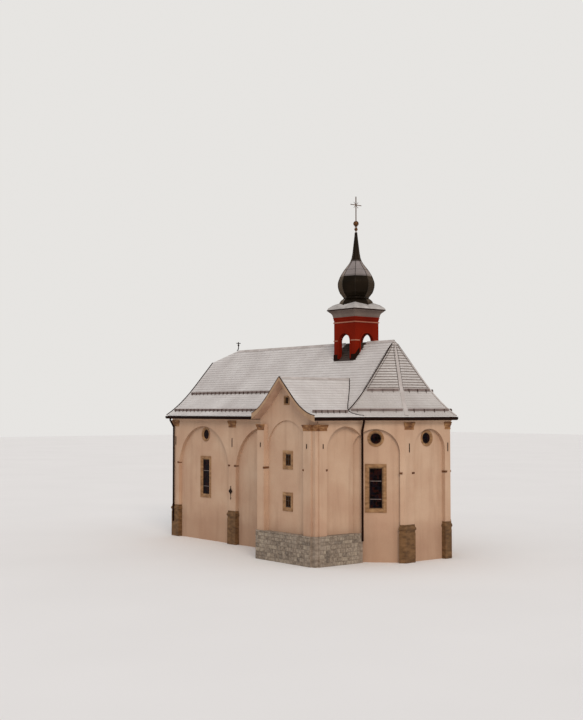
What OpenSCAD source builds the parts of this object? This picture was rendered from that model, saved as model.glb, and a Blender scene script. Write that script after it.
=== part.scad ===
// Small baroque chapel: nave with a half-octagon apse, gabled sacristy wing, onion-domed belfry
// Plan: X runs east along the nave and Y north, both measured from the crossing of the two ridges.
// Heights are measured from the ground at the sacristy. The walls run down to the lowest ground.

/* [Nave and apse] */
// Width over the pilasters
nave_w = 7520; // [7200:10:7800]
// West face, from the sacristy ridge
west_x = -14420; // [-15500:10:-14000]
// East face of the apse, from the sacristy ridge
east_x = 4050; // [3950:10:4150]
// Width of the east face of the apse
end_w = 3320; // [3200:10:3400]
// Thickness of the nave walls at the pilasters
wall_t = 700; // [640:10:760]
// Depth of the blind arches in the nave walls
recess = 210; // [150:10:240]
// Crown of the blind arches
arch_crown = 5390; // [5340:10:5420]
// Fall of the ground from the sacristy to the lowest corner
ground_fall = 1400; // [1000:50:1800]
// Top of the nave floor
floor_z = 150; // [0:10:300]

/* [Sacristy] */
// South face
sac_y = -6350; // [-6600:10:-6200]
// West face
sac_west_x = -2200; // [-2260:10:-2150]
// Right-hand edge of the south face
sac_corner_x = 2450; // [2400:10:2480]
// Face of the pilaster on the east side
sac_east_x = 2500; // [2490:10:2540]
// Thickness of the sacristy walls at the pilasters
sac_wall_t = 620; // [580:10:660]
// Depth of the blind arches in the sacristy walls
sac_recess = 320; // [250:10:340]
// Depth of the gable wall behind the faces of its pilasters
gable_set_back = 240; // [100:10:280]
// Half width of the tall blind arch
sac_arch_half = 1634; // [1600:2:1660]
// Crown of the tall blind arch
sac_arch_crown = 5830; // [5780:10:5860]
// Top of the upper floor
upper_floor_z = 2700; // [2600:10:2900]

/* [Openings] */
// Width and height of a tall window over its stone surround
window_size = [1100, 2480];
// Sill level of the tall window surrounds
window_z = 1120; // [1000:10:1200]
// Width of the stone band round a tall window
window_band = 150; // [120:5:180]
// Width of the splayed reveal inside the band
window_splay = 70; // [60:5:110]
// Depth of the panes behind the wall face round them
pane_depth = 55; // [30:5:200]
// Centre of the round windows
oculus_z = 4900; // [4880:10:4920]
// Radius of a round window over its stone ring
oculus_r = 425; // [400:5:440]
// Radius of the glass of a round window
oculus_glass_r = 265; // [250:5:280]
// Width and height of a sacristy window over its stone surround
sac_window_size = [820, 960];
// Width and height of the small window in the gable
gable_window = [450, 470];
// Centres of the two sacristy windows
sac_window_z = [1670, 3800];
// Width and height of the west doorway
door_size = [1300, 2450];

/* [Roofs] */
// Underside of the eaves
eaves_z = 5960; // [5900:10:6000]
// Ridge of the main roof
ridge_z = 10100; // [9900:10:10300]
// Straight slope of the main roof
main_slope = 1.13; // [1.1:0.01:1.16]
// Ridge of the sacristy roof
sac_ridge_z = 8030; // [7950:10:8100]
// Straight slope of the sacristy roof
sac_slope = 0.97; // [0.95:0.01:1]
// Overhang of the fascia beyond the wall
overhang = 255; // [240:5:270]
// Radius of the half-round gutters
gutter_r = 85; // [70:5:95]
// Where the half hip starts on the main ridge
hip_x = -12700; // [-13000:10:-12500]
// Foot of the half hip at the west verge
hip_foot_z = 9380; // [9300:10:9500]

/* [Belfry] */
// Centre of the belfry on the ridge
belfry_x = -1490; // [-1600:10:-1400]
// Width of the belfry
belfry_w = 1750; // [1700:10:1800]
// Thickness of the belfry walls
belfry_t = 200; // [150:10:240]
// Top of the belfry walls
belfry_top_z = 11500; // [11450:10:11550]
// Half width of the belfry arches
belfry_arch_half = 460; // [430:10:480]
// Top of the cross
cross_top_z = 18310; // [18100:10:18400]

/* [Hidden] */
plaster = "#c3a184";
stone = "#8a6a42";
rubble = "#8f7d68";
shingle = "#b4aca6";
sheet_metal = "#3a2a24";
iron = "#26201d";
glass = "#1d2228";
timber = "#5a3a22";
lime = "#cdb59a";
red = "#9a2613";
grey = "#9a8c86";
bronze = "#4a2c18";

$fn = 64;
base_z = -ground_fall;
half_w = nave_w/2;
end_half = end_w/2;
corner_x = east_x - (half_w - end_half);
apex_x = 1570;
drip = overhang + gutter_r;
gutter_z = eaves_z - 45;
drip_z = [eaves_z + 45, eaves_z + 90];
verge_out = [250, 260];
plate_t = 150;
roof_t = 250;
main_half = half_w + drip;
main_bend = 2000;
sac_bend = 1050;
main_curve = (drip_z[1] - ridge_z + main_slope*main_half)/(main_half - main_bend)^2;
sac_left = -(sac_west_x - 150);
sac_right = sac_east_x + drip;
sac_curve = (drip_z[1] - sac_ridge_z + sac_slope*sac_right)/(sac_right - sac_bend)^2;
sac_inner_y = sac_y + sac_wall_t;
sac_notch = 100;
diag_y = -(half_w + corner_x - sac_east_x);
centre_x = (west_x - verge_out[0] - 20 + east_x + drip + gutter_r)/2;
centre_y = (sac_y - verge_out[1] - 20 + half_w + drip + gutter_r)/2;

// A face is the plan position of its local zero and its turn: u runs along it, v runs into the wall
south = [[0, -half_w], 0];
southeast = [[(corner_x + east_x)/2, -(half_w + end_half)/2], 45];
east = [[east_x, 0], 90];
northeast = [[(corner_x + east_x)/2, (half_w + end_half)/2], 135];
north = [[0, half_w], 180];
west = [[west_x, 0], 270];
sac_south = [[0, sac_y], 0];
sac_east = [[sac_east_x, 0], 90];
sac_west = [[sac_west_x, 0], 270];

// Blind arches: face, centre along the face, half width
south_bays = [[south, -11095, 2655], [south, -5095, 2655]];
southeast_bay = [southeast, 0, 1236];
east_bay = [east, 115, 1145];
northeast_bay = [northeast, 0, 1236];
north_bays = [[north, 11095, 2655], [north, 5095, 2655], [north, 235, 1515]];
west_bay = [west, 0, half_w - wall_t];
window_bays = concat(south_bays, [southeast_bay, northeast_bay], north_bays);
oculus_bays = concat(window_bays, [east_bay]);
sac_east_bay = [sac_east, -4270, 1270];
sac_west_bay = [sac_west, 4865, 910];

outline = [[west_x, -half_w], [corner_x, -half_w], [east_x, -end_half], [east_x, end_half],
           [corner_x, half_w], [west_x, half_w]];

// Geometry functions
function turned(p, a) = [p[0]*cos(a) - p[1]*sin(a), p[0]*sin(a) + p[1]*cos(a)];
function on_face(f, u, v) = f[0] + turned([u, v], f[1]);
function unit(v) = v/norm(v);
function right_of(a, b) = let (d = unit(b - a)) [d[1], -d[0]];
function mitre(n1, n2) = (n1 + n2)/(1 + n1*n2);
function outward(path) = let (last = len(path) - 1) [
    for (i = [0:last])
        i == 0 ? right_of(path[0], path[1])
        : i == last ? right_of(path[last - 1], path[last])
        : mitre(right_of(path[i - 1], path[i]), right_of(path[i], path[i + 1]))];
function moved(path, d) = let (out = outward(path)) [for (i = [0:len(path) - 1]) path[i] + out[i]*d];
function flipped(list) = [for (i = [len(list) - 1:-1:0]) list[i]];
function longer(path, d) = let (last = len(path) - 1) [
    for (i = [0:last])
        i == 0 ? path[0] + unit(path[0] - path[1])*d
        : i == last ? path[last] + unit(path[last] - path[last - 1])*d
        : path[i]];
function raised(ring, z) = [for (p = ring) [p[0], p[1], z]];
function bell(d, top, slope, bend, curve) = top - slope*d + (d > bend ? curve*(d - bend)^2 : 0);
function main_z(d) = bell(d, ridge_z, main_slope, main_bend, main_curve);
function sac_z(d) = bell(d, sac_ridge_z, sac_slope, sac_bend, sac_curve);
function stops(d0, d1, bend) = d1 <= bend ? [d0, d1]
    : concat([d0], d0 < bend ? [bend] : [], [for (i = [1:6]) max(d0, bend) + (d1 - max(d0, bend))*i/6]);
function main_line(d0, d1, drop) = [for (d = stops(d0, d1, main_bend)) [d, main_z(d) - drop]];
function sac_line(d0, d1, drop) = [for (d = stops(d0, d1, sac_bend)) [d, sac_z(d) - drop]];
function flip_x(list) = [for (p = flipped(list)) [-p[0], p[1]]];
function round_points(r, a0, a1, n) = [for (i = [0:n]) let (a = a0 + (a1 - a0)*i/n) [r*cos(a), r*sin(a)]];

function box_ring(size) = [for (q = [[-1, -1], [1, -1], [1, 1], [-1, 1]]) [q[0]*size[0], q[1]*size[1]]/2];

// Moves the model so that its origin is under the middle of its plan, on the lowest ground
module placed() {
    translate([-centre_x, -centre_y, ground_fall]) children();
}

module on(f) {
    translate([f[0][0], f[0][1], 0]) rotate([0, 0, f[1]]) children();
}

// Closed solid through rings of points, each listed counter-clockwise seen from the last ring.
// The end faces follow the lists in ends, or else are one face each.
module loft(rings, ends = []) {
    n = len(rings[0]);
    last = len(rings) - 1;
    cap = len(ends) > 0 ? ends : [[for (i = [0:n - 1]) i]];
    polyhedron(
        points = [for (ring = rings) each ring],
        faces = concat(
            cap,
            [for (face = cap) [for (i = flipped(face)) last*n + i]],
            [for (j = [0:last - 1], i = [0:n - 1])
                let (k = (i + 1)%n) [j*n + i, (j + 1)*n + i, (j + 1)*n + k, j*n + k]]),
        convexity = 8);
}

// End faces of a band that has m points along each side
function band_ends(m) = [for (i = [0:m - 2]) [i, i + 1, 2*m - 2 - i, 2*m - 1 - i]];

// Moulding along a plan path: the profile lists [projection, height] upwards
module moulding(path, profile, returned = false) {
    rings = [for (p = profile)
        let (line = returned ? longer(path, p[0]) : path)
        raised(concat(moved(line, p[0]), flipped(line)), p[1])];
    loft(rings, band_ends(len(path)));
}

// Closed section [projection, height] carried along a plan path
module carried(path, section, ends = []) {
    out = outward(path);
    loft([for (i = [0:len(path) - 1])
        [for (q = flipped(section)) let (p = path[i] + out[i]*q[0]) [p[0], p[1], q[1]]]], ends);
}

module along_x(x0, x1) {
    translate([x0, 0, 0]) rotate([90, 0, 90]) linear_extrude(x1 - x0) children();
}

module along_y(y0, y1) {
    translate([0, y1, 0]) rotate([90, 0, 0]) linear_extrude(y1 - y0) children();
}

// Rod between two points
module rod(a, b, r) {
    d = b - a;
    translate(a) rotate([0, acos(d[2]/norm(d)), atan2(d[1], d[0])]) cylinder(h = norm(d), r = r);
}

// Cut for a blind arch, open below
module blind_arch(bay, depth, crown, foot = base_z - 1) {
    r = bay[2];
    on(bay[0]) translate([bay[1], 0, 0]) along_y(-200, depth) {
        translate([-r, foot]) square([2*r, crown - r - foot]);
        translate([0, crown - r]) circle(r, $fn = 96);
    }
}

module rect_cut(bay, size, z, depth) {
    on(bay[0]) translate([bay[1] - size[0]/2, -1, z]) cube([size[0], depth + 1, size[1]]);
}

module round_cut(bay, depth) {
    on(bay[0]) translate([bay[1], -1, oculus_z]) rotate([-90, 0, 0]) cylinder(h = depth + 1, r = oculus_r);
}

// One wall of the nave or apse, mitred at its corners
module shell_wall(i) {
    inner = moved(outline, -wall_t);
    translate([0, 0, base_z])
        linear_extrude(eaves_z - base_z)
            polygon([outline[i], outline[i + 1], inner[i + 1], inner[i]]);
}

module pierced_wall(i, bays, windows) {
    difference() {
        shell_wall(i);
        for (bay = bays) {
            blind_arch(bay, recess, arch_crown);
            round_cut(bay, wall_t + 1);
        }
        for (bay = windows) rect_cut(bay, window_size, window_z, wall_t + 1);
    }
}

module nave_south_wall() {
    color(plaster) placed() pierced_wall(0, south_bays, south_bays);
}

module apse_southeast_wall() {
    color(plaster) placed() pierced_wall(1, [southeast_bay], [southeast_bay]);
}

module apse_east_wall() {
    color(plaster) placed() pierced_wall(2, [east_bay], []);
}

module apse_northeast_wall() {
    color(plaster) placed() pierced_wall(3, [northeast_bay], [northeast_bay]);
}

module nave_north_wall() {
    color(plaster) placed() pierced_wall(4, north_bays, north_bays);
}

// Space above the half hip, lowered by the thickness given
module above_hip(drop) {
    fall = (ridge_z - hip_foot_z)/(hip_x - west_x + verge_out[0]);
    far_x = west_x - 1000;
    along_y(-3000, 3000)
        translate([0, -drop])
            polygon([[hip_x, ridge_z], [hip_x, ridge_z + 900], [far_x, ridge_z + 900],
                     [far_x, ridge_z - fall*(hip_x - far_x)]]);
}

module west_gable_wall() {
    inner = half_w - wall_t;
    rake = main_line(0, half_w, plate_t);
    west_oculus_z = 4450;
    color(plaster) placed() difference() {
        union() {
            along_x(west_x, west_x + wall_t)
                translate([-inner, base_z]) square([2*inner, eaves_z - base_z]);
            along_x(west_x, west_x + wall_t)
                polygon(concat([[-half_w, eaves_z]], flip_x(rake), rake, [[half_w, eaves_z]]));
        }
        above_hip(plate_t);
        blind_arch(west_bay, recess, arch_crown);
        on(west) {
            translate([-door_size[0]/2 - 200, -1, floor_z])
                cube([door_size[0] + 400, wall_t + 2, door_size[1] + 200]);
            translate([0, -1, west_oculus_z]) rotate([-90, 0, 0]) cylinder(h = wall_t + 2, r = oculus_r);
        }
    }
}

// Plan of the sacristy's outer face, from the nave round to the apse
function sac_path() = [
    [sac_west_x, -half_w], [sac_west_x, sac_y], [sac_corner_x - 242, sac_y],
    [sac_corner_x - 242, sac_y + sac_notch], [sac_corner_x, sac_y + sac_notch],
    [sac_corner_x, sac_y + 320], [sac_east_x, sac_y + 320], [sac_east_x, diag_y]];

module sacristy_gable_wall() {
    p = sac_path();
    color(plaster) placed() difference() {
        intersection() {
            translate([0, 0, 100])
                linear_extrude(sac_ridge_z)
                    polygon([p[1], p[2], p[3], p[4], p[5], p[6],
                             [sac_east_x, sac_inner_y], [sac_west_x, sac_inner_y]]);
            along_y(sac_y - 1, sac_inner_y + 1)
                polygon(concat([[-sac_left, 0]], flip_x(sac_line(0, sac_left, plate_t)),
                               sac_line(0, sac_right, plate_t), [[sac_right, 0]]));
        }
        on(sac_south) translate([-sac_arch_half, -1, 99]) cube([2*sac_arch_half, gable_set_back + 1, 6000]);
        on(sac_south) translate([-3000, -1, 5620]) cube([6000, gable_set_back + 1, 3000]);
        blind_arch([sac_south, 0, sac_arch_half], sac_recess, sac_arch_crown);
        blind_arch(sac_east_bay, sac_recess, 5530);
        for (z = sac_window_z)
            rect_cut([sac_south, 0], sac_window_size, z - sac_window_size[1]/2, sac_wall_t + 1);
        rect_cut([sac_south, 0], gable_window, 6850 - gable_window[1]/2, sac_wall_t + 1);
    }
}

module sacristy_west_wall() {
    color(plaster) placed() difference() {
        translate([sac_west_x, sac_inner_y, 100])
            cube([sac_wall_t, -half_w - sac_inner_y, eaves_z - 100]);
        blind_arch(sac_west_bay, sac_recess, 5530);
    }
}

module sacristy_east_wall() {
    inner_x = sac_east_x - sac_wall_t;
    color(plaster) placed() difference() {
        translate([0, 0, 100])
            linear_extrude(eaves_z - 100)
                polygon([[sac_east_x, sac_inner_y], [sac_east_x, diag_y], [corner_x, -half_w],
                         [inner_x, -half_w], [inner_x, sac_inner_y]]);
        blind_arch(sac_east_bay, sac_recess, 5530);
    }
}

// Rubble under the sacristy walls, a little prouder than the plaster
module sacristy_footing() {
    outer = moved(sac_path(), 60);
    inner_x = sac_east_x - sac_wall_t;
    color(rubble) placed() translate([0, 0, base_z]) linear_extrude(100 - base_z)
        polygon(concat(outer, [[corner_x, -half_w], [inner_x, -half_w], [inner_x, sac_inner_y],
                               [sac_west_x + sac_wall_t, sac_inner_y],
                               [sac_west_x + sac_wall_t, -half_w]]));
}

module sacristy_floor(top) {
    inner_x = sac_east_x - sac_wall_t;
    translate([sac_west_x + sac_wall_t, sac_inner_y, top - 200])
        cube([inner_x - sac_west_x - sac_wall_t, -half_w - sac_inner_y, 200]);
}

module ground_floors() {
    inner = moved(outline, -wall_t);
    color(stone) placed() {
        translate([0, 0, floor_z - 250]) linear_extrude(250)
            polygon(concat([[west_x + wall_t, inner[0][1]]], [for (i = [1:4]) inner[i]],
                           [[west_x + wall_t, inner[5][1]]]));
        sacristy_floor(floor_z + 100);
    }
}

module sacristy_upper_floor() {
    color(timber) placed() sacristy_floor(upper_floor_z);
}

// Plan paths round the foot of each pilaster, from recess to recess
function strip(f, u0, u1, depth) =
    [on_face(f, u0, depth), on_face(f, u0, 0), on_face(f, u1, 0), on_face(f, u1, depth)];
function corner_strip(f1, u1, f2, u2, corner, depth) =
    [on_face(f1, u1, depth), on_face(f1, u1, 0), corner, on_face(f2, u2, 0), on_face(f2, u2, depth)];

pilaster_paths = [
    corner_strip(west, west_bay[2], south, south_bays[0][1] - 2655, outline[0], recess),
    strip(south, south_bays[0][1] + 2655, south_bays[1][1] - 2655, recess),
    corner_strip(southeast, 1236, east, east_bay[1] - east_bay[2], outline[2], recess),
    corner_strip(east, east_bay[1] + east_bay[2], northeast, -1236, outline[3], recess),
    corner_strip(northeast, 1236, north, north_bays[2][1] - 1515, outline[4], recess),
    strip(north, 1750, 2440, recess),
    strip(north, 7750, 8440, recess),
    corner_strip(north, 13750, west, -west_bay[2], outline[5], recess)];

module pilaster_pedestals() {
    profile = [[55, base_z], [55, 60], [40, 150], [50, 230], [85, 280], [85, 340],
               [55, 400], [30, 440], [30, 530]];
    color(stone) placed() for (path = pilaster_paths) moulding(path, profile);
}

// Capital profiles: fillet, cove and abacus
function capital_profile(z, h) = [
    [16, z], [16, z + 0.18*h], [8, z + 0.2*h], [12, z + 0.34*h], [26, z + 0.5*h],
    [50, z + 0.66*h], [50, z + 0.78*h], [66, z + 0.82*h], [66, z + h]];

nave_capital_paths = [
    [on_face(west, west_bay[2] + 30, 0), outline[0], on_face(south, -13750, 0)],
    [on_face(south, -8440, 0), on_face(south, -7750, 0)],
    [on_face(east, -end_half, 0), on_face(east, east_bay[1] - east_bay[2], 0)],
    [on_face(east, east_bay[1] + east_bay[2], 0), on_face(east, end_half, 0)],
    [on_face(north, -corner_x, 0), on_face(north, -1280, 0)],
    [on_face(north, 1750, 0), on_face(north, 2440, 0)],
    [on_face(north, 7750, 0), on_face(north, 8440, 0)],
    [on_face(north, 13750, 0), outline[5], on_face(west, -west_bay[2] - 30, 0)]];

module pilaster_capitals() {
    p = sac_path();
    color(stone) placed() {
        for (path = nave_capital_paths) moulding(path, capital_profile(5350, 390), returned = true);
        moulding([p[1], p[1] + [570, 0]], capital_profile(5310, 310), returned = true);
        moulding([[sac_arch_half, sac_y], p[2], p[3], p[4], p[5], p[6], p[6] + [0, 490]],
                 capital_profile(5310, 310), returned = true);
    }
}

// Small blocks where the blind arches spring
module impost(f, u, side, depth, z, w = 130) {
    path = side > 0 ? [on_face(f, u, depth), on_face(f, u, 0), on_face(f, u + w, 0)]
        : [on_face(f, u - w, 0), on_face(f, u, 0), on_face(f, u, depth)];
    moulding(path, [[20, z - 50], [35, z - 25], [35, z + 50]]);
}

module bay_imposts(bay, depth, z) {
    impost(bay[0], bay[1] + bay[2], 1, depth, z);
    impost(bay[0], bay[1] - bay[2], -1, depth, z);
}

module impost_blocks() {
    color(stone) placed() {
        for (bay = concat(window_bays, [east_bay])) bay_imposts(bay, recess, 3140);
        for (side = [-1, 1]) impost(sac_south, side*sac_arch_half, side, sac_recess, 3360, 40);
        impost(sac_east, -5540, -1, sac_recess, 3360, 60);
    }
}

module anchor(f, u, z, length) {
    on(f) translate([u - 17, -30, z]) cube([34, 30, length]);
}

module wall_anchors() {
    color(iron) placed() {
        for (u = [-14085, -8095]) anchor(south, u, 4220, 510);
        for (u = [14085, 8095, 2095]) anchor(north, u, 4220, 510);
        anchor(east, (east_bay[1] - east_bay[2] - end_half)/2, 4200, 450);
        anchor(east, (east_bay[1] + east_bay[2] + end_half)/2, 4200, 450);
        for (u = [-1915, 1915]) anchor(sac_south, u, 4430, 230);
        anchor(sac_east, -5785, 4430, 230);
    }
}

// Diamond ornament on a rod, on the second pilaster
module iron_bracket() {
    color(iron) placed() on(south) translate([-8210, -40, 0]) {
        translate([0, 0, 1180]) cylinder(h = 780, r = 14);
        translate([0, 0, 1660]) rotate([90, 45, 0]) translate([0, 0, -10]) linear_extrude(20)
            difference() {
                square(250, center = true);
                square(60, center = true);
            }
        for (z = [1230, 1900]) translate([-20, 0, z]) cube([40, 40, 24]);
    }
}

// Eaves of the nave and of the wing's east side, which carry gutters
eaves_paths = [
    [outline[0], [sac_west_x, -half_w]],
    [[sac_east_x, sac_y + gable_set_back], [sac_east_x, diag_y], outline[2], outline[3], outline[4],
     outline[5]]];

module eaves_cornice() {
    profile = [[12, 5670], [12, 5700], [28, 5715], [45, 5760], [90, 5820], [150, 5865],
               [150, 5880], [200, 5890], [225, 5925], [225, eaves_z]];
    narrow = [for (p = profile) [p[0]/2, p[1]]];
    color(lime) placed() {
        for (path = eaves_paths) moulding(path, profile);
        moulding([[sac_west_x, -half_w], [sac_west_x, sac_y + gable_set_back]], narrow);
    }
}

// Splayed stone frame in a wall opening, glass at its back
module frame_ring(size, band, splay, proud, depth) {
    hole = [size[0] - 2*band, size[1] - 2*band];
    pane = [hole[0] - 2*splay, hole[1] - 2*splay];
    rotate([-90, 0, 0]) difference() {
        translate([-size[0]/2, -size[1]/2, -proud]) cube([size[0], size[1], depth + proud]);
        loft([raised(box_ring(hole), -proud - 1), raised(box_ring(hole), 0),
              raised(box_ring(pane), depth - 10), raised(box_ring(pane), depth + 1)]);
    }
}

module at_window(bay, depth, z) {
    on(bay[0]) translate([bay[1], depth, z]) children();
}

module window_surrounds() {
    color(stone) placed() for (bay = window_bays)
        at_window(bay, recess, window_z + window_size[1]/2)
            frame_ring(window_size, window_band, window_splay, 30, pane_depth);
}

module window_glass() {
    inset = 2*(window_band + window_splay);
    pane = [window_size[0] - inset, 24, window_size[1] - inset];
    color(glass) placed() for (bay = window_bays)
        at_window(bay, recess + pane_depth + 12, window_z + window_size[1]/2)
            translate([-pane[0]/2 - 20, -12, -pane[2]/2 - 20]) cube([pane[0] + 40, 24, pane[2] + 40]);
}

module oculus_surrounds() {
    color(stone) placed() {
        for (bay = oculus_bays) at_window(bay, recess, oculus_z) oculus_ring();
        at_window(west_bay, recess, 4450) oculus_ring();
    }
}

module oculus_ring() {
    rotate([-90, 0, 0]) difference() {
        translate([0, 0, -30]) cylinder(h = 30 + pane_depth, r = oculus_r);
        translate([0, 0, -31]) cylinder(h = 32 + pane_depth, r1 = oculus_r - 85, r2 = oculus_glass_r);
    }
}

module oculus_glass() {
    pane_r = oculus_glass_r + 20;
    color(glass) placed() {
        for (bay = oculus_bays)
            at_window(bay, recess + pane_depth, oculus_z) rotate([-90, 0, 0]) cylinder(h = 24, r = pane_r);
        at_window(west_bay, recess + pane_depth, 4450) rotate([-90, 0, 0]) cylinder(h = 24, r = pane_r);
    }
}

module sacristy_window_surrounds() {
    color(stone) placed() {
        for (z = sac_window_z)
            at_window([sac_south, 0], sac_recess, z) frame_ring(sac_window_size, 150, 50, 25, pane_depth);
        at_window([sac_south, 0], gable_set_back, 6850) frame_ring(gable_window, 70, 15, 20, pane_depth);
    }
}

module sacristy_window_glass() {
    color(glass) placed() {
        for (z = sac_window_z)
            at_window([sac_south, 0], sac_recess + pane_depth + 12, z)
                cube([sac_window_size[0] - 360, 24, sac_window_size[1] - 360], center = true);
        at_window([sac_south, 0], gable_set_back + pane_depth + 12, 6850)
            cube([gable_window[0] - 130, 24, gable_window[1] - 130], center = true);
    }
}

module door_surround() {
    color(stone) placed() on(west) translate([0, recess, floor_z]) difference() {
        translate([-door_size[0]/2 - 200, -40, 0]) cube([door_size[0] + 400, 340, door_size[1] + 200]);
        translate([-door_size[0]/2, -41, -1]) cube([door_size[0], 342, door_size[1] + 1]);
    }
}

module west_door() {
    leaf = door_size[0]/2 - 3;
    color(timber) placed() on(west) for (x = [-leaf - 3, 3])
        translate([x, recess + 180, floor_z + 5]) cube([leaf, 70, door_size[1] - 5]);
}

// Section of one slope of the main roof, with its eaves box over the wall
function main_section() = let (inner = half_w - wall_t) concat(
    main_line(0, main_half, 0),
    [[main_half, drip_z[0]], [half_w + overhang, drip_z[0]], [half_w + overhang, eaves_z],
     [inner, eaves_z]],
    flipped(main_line(0, inner, roof_t)));
// Section of the same slope where it runs out over the gable as a thin plate
function main_plate() = concat(
    main_line(0, main_half, 0), [[main_half, drip_z[0]], [half_w + overhang, drip_z[0]]],
    flipped(main_line(0, half_w + overhang, plate_t)));

module nave_slope() {
    difference() {
        union() {
            along_x(west_x + wall_t, apex_x) polygon(main_section());
            along_x(west_x - verge_out[0], west_x + wall_t) polygon(main_plate());
        }
        above_hip(0);
    }
}

module nave_roof_north() {
    color(shingle) placed() nave_slope();
}

module nave_roof_south() {
    color(shingle) placed() mirror([0, 1, 0]) nave_slope();
}

// Space under the main roof, lowered by the thickness given
module under_main(x0, x1, drop) {
    line = main_line(0, main_half, drop);
    along_x(x0, x1) polygon(concat([[-main_half, drip_z[0] - drop]], flip_x(line), line,
                                   [[main_half, drip_z[0] - drop]]));
}

module half_hip() {
    color(shingle) placed() difference() {
        union() {
            under_main(west_x - verge_out[0], west_x + wall_t, plate_t);
            under_main(west_x + wall_t, hip_x, roof_t);
        }
        above_hip(0);
        difference() {
            translate([west_x - 1000, -main_half - 1, 5000]) cube([14000, 2*main_half + 2, 6000]);
            above_hip(plate_t);
        }
    }
}

// Roof over the apse: rings of the eaves outline drawn in towards the apex
function apse_ring(s) = let (
    eaves = moved(outline, drip),
    ring = concat([[apex_x, -main_half]], [for (i = [1:4]) eaves[i]], [[apex_x, main_half]]))
    [for (p = ring) [apex_x + (p[0] - apex_x)*s, p[1]*s]];

module under_apse(drop) {
    scales = flipped([for (d = stops(main_half*0.001, main_half, main_bend)) d/main_half]);
    translate([0, 0, -drop]) loft(concat(
        [raised(apse_ring(1), drip_z[0])],
        [for (s = scales) raised(apse_ring(s), main_z(s*main_half))]));
}

module apse_roof() {
    inner = moved(outline, -wall_t);
    fascia = moved(outline, overhang);
    color(shingle) placed() difference() {
        union() {
            under_apse(0);
            translate([0, 0, eaves_z]) linear_extrude(drip_z[0] + 1 - eaves_z)
                polygon(concat([[apex_x, fascia[0][1]]], [for (i = [1:4]) fascia[i]],
                               [[apex_x, fascia[5][1]]]));
        }
        intersection() {
            under_apse(roof_t);
            translate([0, 0, eaves_z - 200]) linear_extrude(ridge_z)
                polygon(concat([[apex_x - 1, inner[0][1]]], [for (i = [1:4]) inner[i]],
                               [[apex_x - 1, inner[5][1]]]));
        }
    }
}

// Everything under the main and apse roofs, down to their eaves box
module main_mass() {
    under_main(west_x, apex_x, 0);
    along_x(west_x, apex_x) translate([-half_w - overhang, eaves_z - 1])
        square([2*(half_w + overhang), 150]);
    under_apse(0);
    translate([0, 0, eaves_z - 1]) linear_extrude(150) polygon(moved(outline, overhang));
}

module sacristy_roof() {
    inner = [sac_west_x + sac_wall_t, sac_east_x - sac_wall_t];
    fascia = [sac_west_x - 130, sac_east_x + overhang];
    color(shingle) placed() difference() {
        union() {
            along_y(sac_y - verge_out[1], -1500)
                polygon(concat([[-sac_left, drip_z[0]]], flip_x(sac_line(0, sac_left, 0)),
                               sac_line(0, sac_right, 0), [[sac_right, drip_z[0]]]));
            along_y(sac_inner_y, -1500) translate([fascia[0], eaves_z])
                square([fascia[1] - fascia[0], drip_z[0] - eaves_z + 1]);
        }
        along_y(sac_y - verge_out[1] - 1, sac_inner_y)
            polygon(concat([[-sac_left - 1, 5000], [-sac_left - 1, sac_z(sac_left) - plate_t]],
                           flip_x(sac_line(0, sac_left, plate_t)), sac_line(0, sac_right, plate_t),
                           [[sac_right + 1, sac_z(sac_right) - plate_t], [sac_right + 1, 5000]]));
        along_y(sac_inner_y - 1, -1400)
            polygon(concat([[inner[0], 5000]], flip_x(sac_line(0, -inner[0], roof_t)),
                           sac_line(0, inner[1], roof_t), [[inner[1], 5000]]));
        main_mass();
    }
}

// Lower edge of the boxed verge of the wing, deeper towards the eaves
function verge_line(far, end) = [for (d = stops(0, end, sac_bend))
    [d, sac_z(d) - plate_t - 15 - 120*(d/far)^4]];

// Boards along the two verges, just proud of the shingles
module verge_boards() {
    color(timber) placed() {
        along_y(sac_y - verge_out[1] - 20, sac_y - verge_out[1])
            polygon(concat(flip_x(sac_line(0, sac_left, -25)), sac_line(0, sac_right, -25),
                           flipped(verge_line(sac_right, sac_right)),
                           flipped(flip_x(verge_line(sac_left, sac_left)))));
        difference() {
            along_x(west_x - verge_out[0] - 20, west_x - verge_out[0])
                polygon(concat(flip_x(main_line(0, main_half, -25)), main_line(0, main_half, -25),
                               flipped(main_line(0, main_half, 800)),
                               flipped(flip_x(main_line(0, main_half, 800)))));
            above_hip(-25);
            intersection() {
                under_main(west_x - 400, west_x - 200, plate_t);
                difference() {
                    translate([west_x - 900, -main_half, 5000]) cube([800, 2*main_half, 6000]);
                    above_hip(plate_t);
                }
            }
            translate([west_x - 400, -main_half - 500, 5000])
                cube([300, 2*main_half + 1000, drip_z[0] - 5000]);
        }
    }
}

// Boxed underside of the roof in front of the gable wall
module verge_soffit() {
    ends = [sac_left - 20, sac_right - 100];
    color(timber) placed() along_y(sac_y - verge_out[1], sac_y + gable_set_back)
        polygon(concat(flip_x(sac_line(0, ends[0], plate_t)), sac_line(0, ends[1], plate_t),
                       flipped(verge_line(sac_right, ends[1])),
                       flipped(flip_x(verge_line(sac_left, ends[0])))));
}

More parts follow.
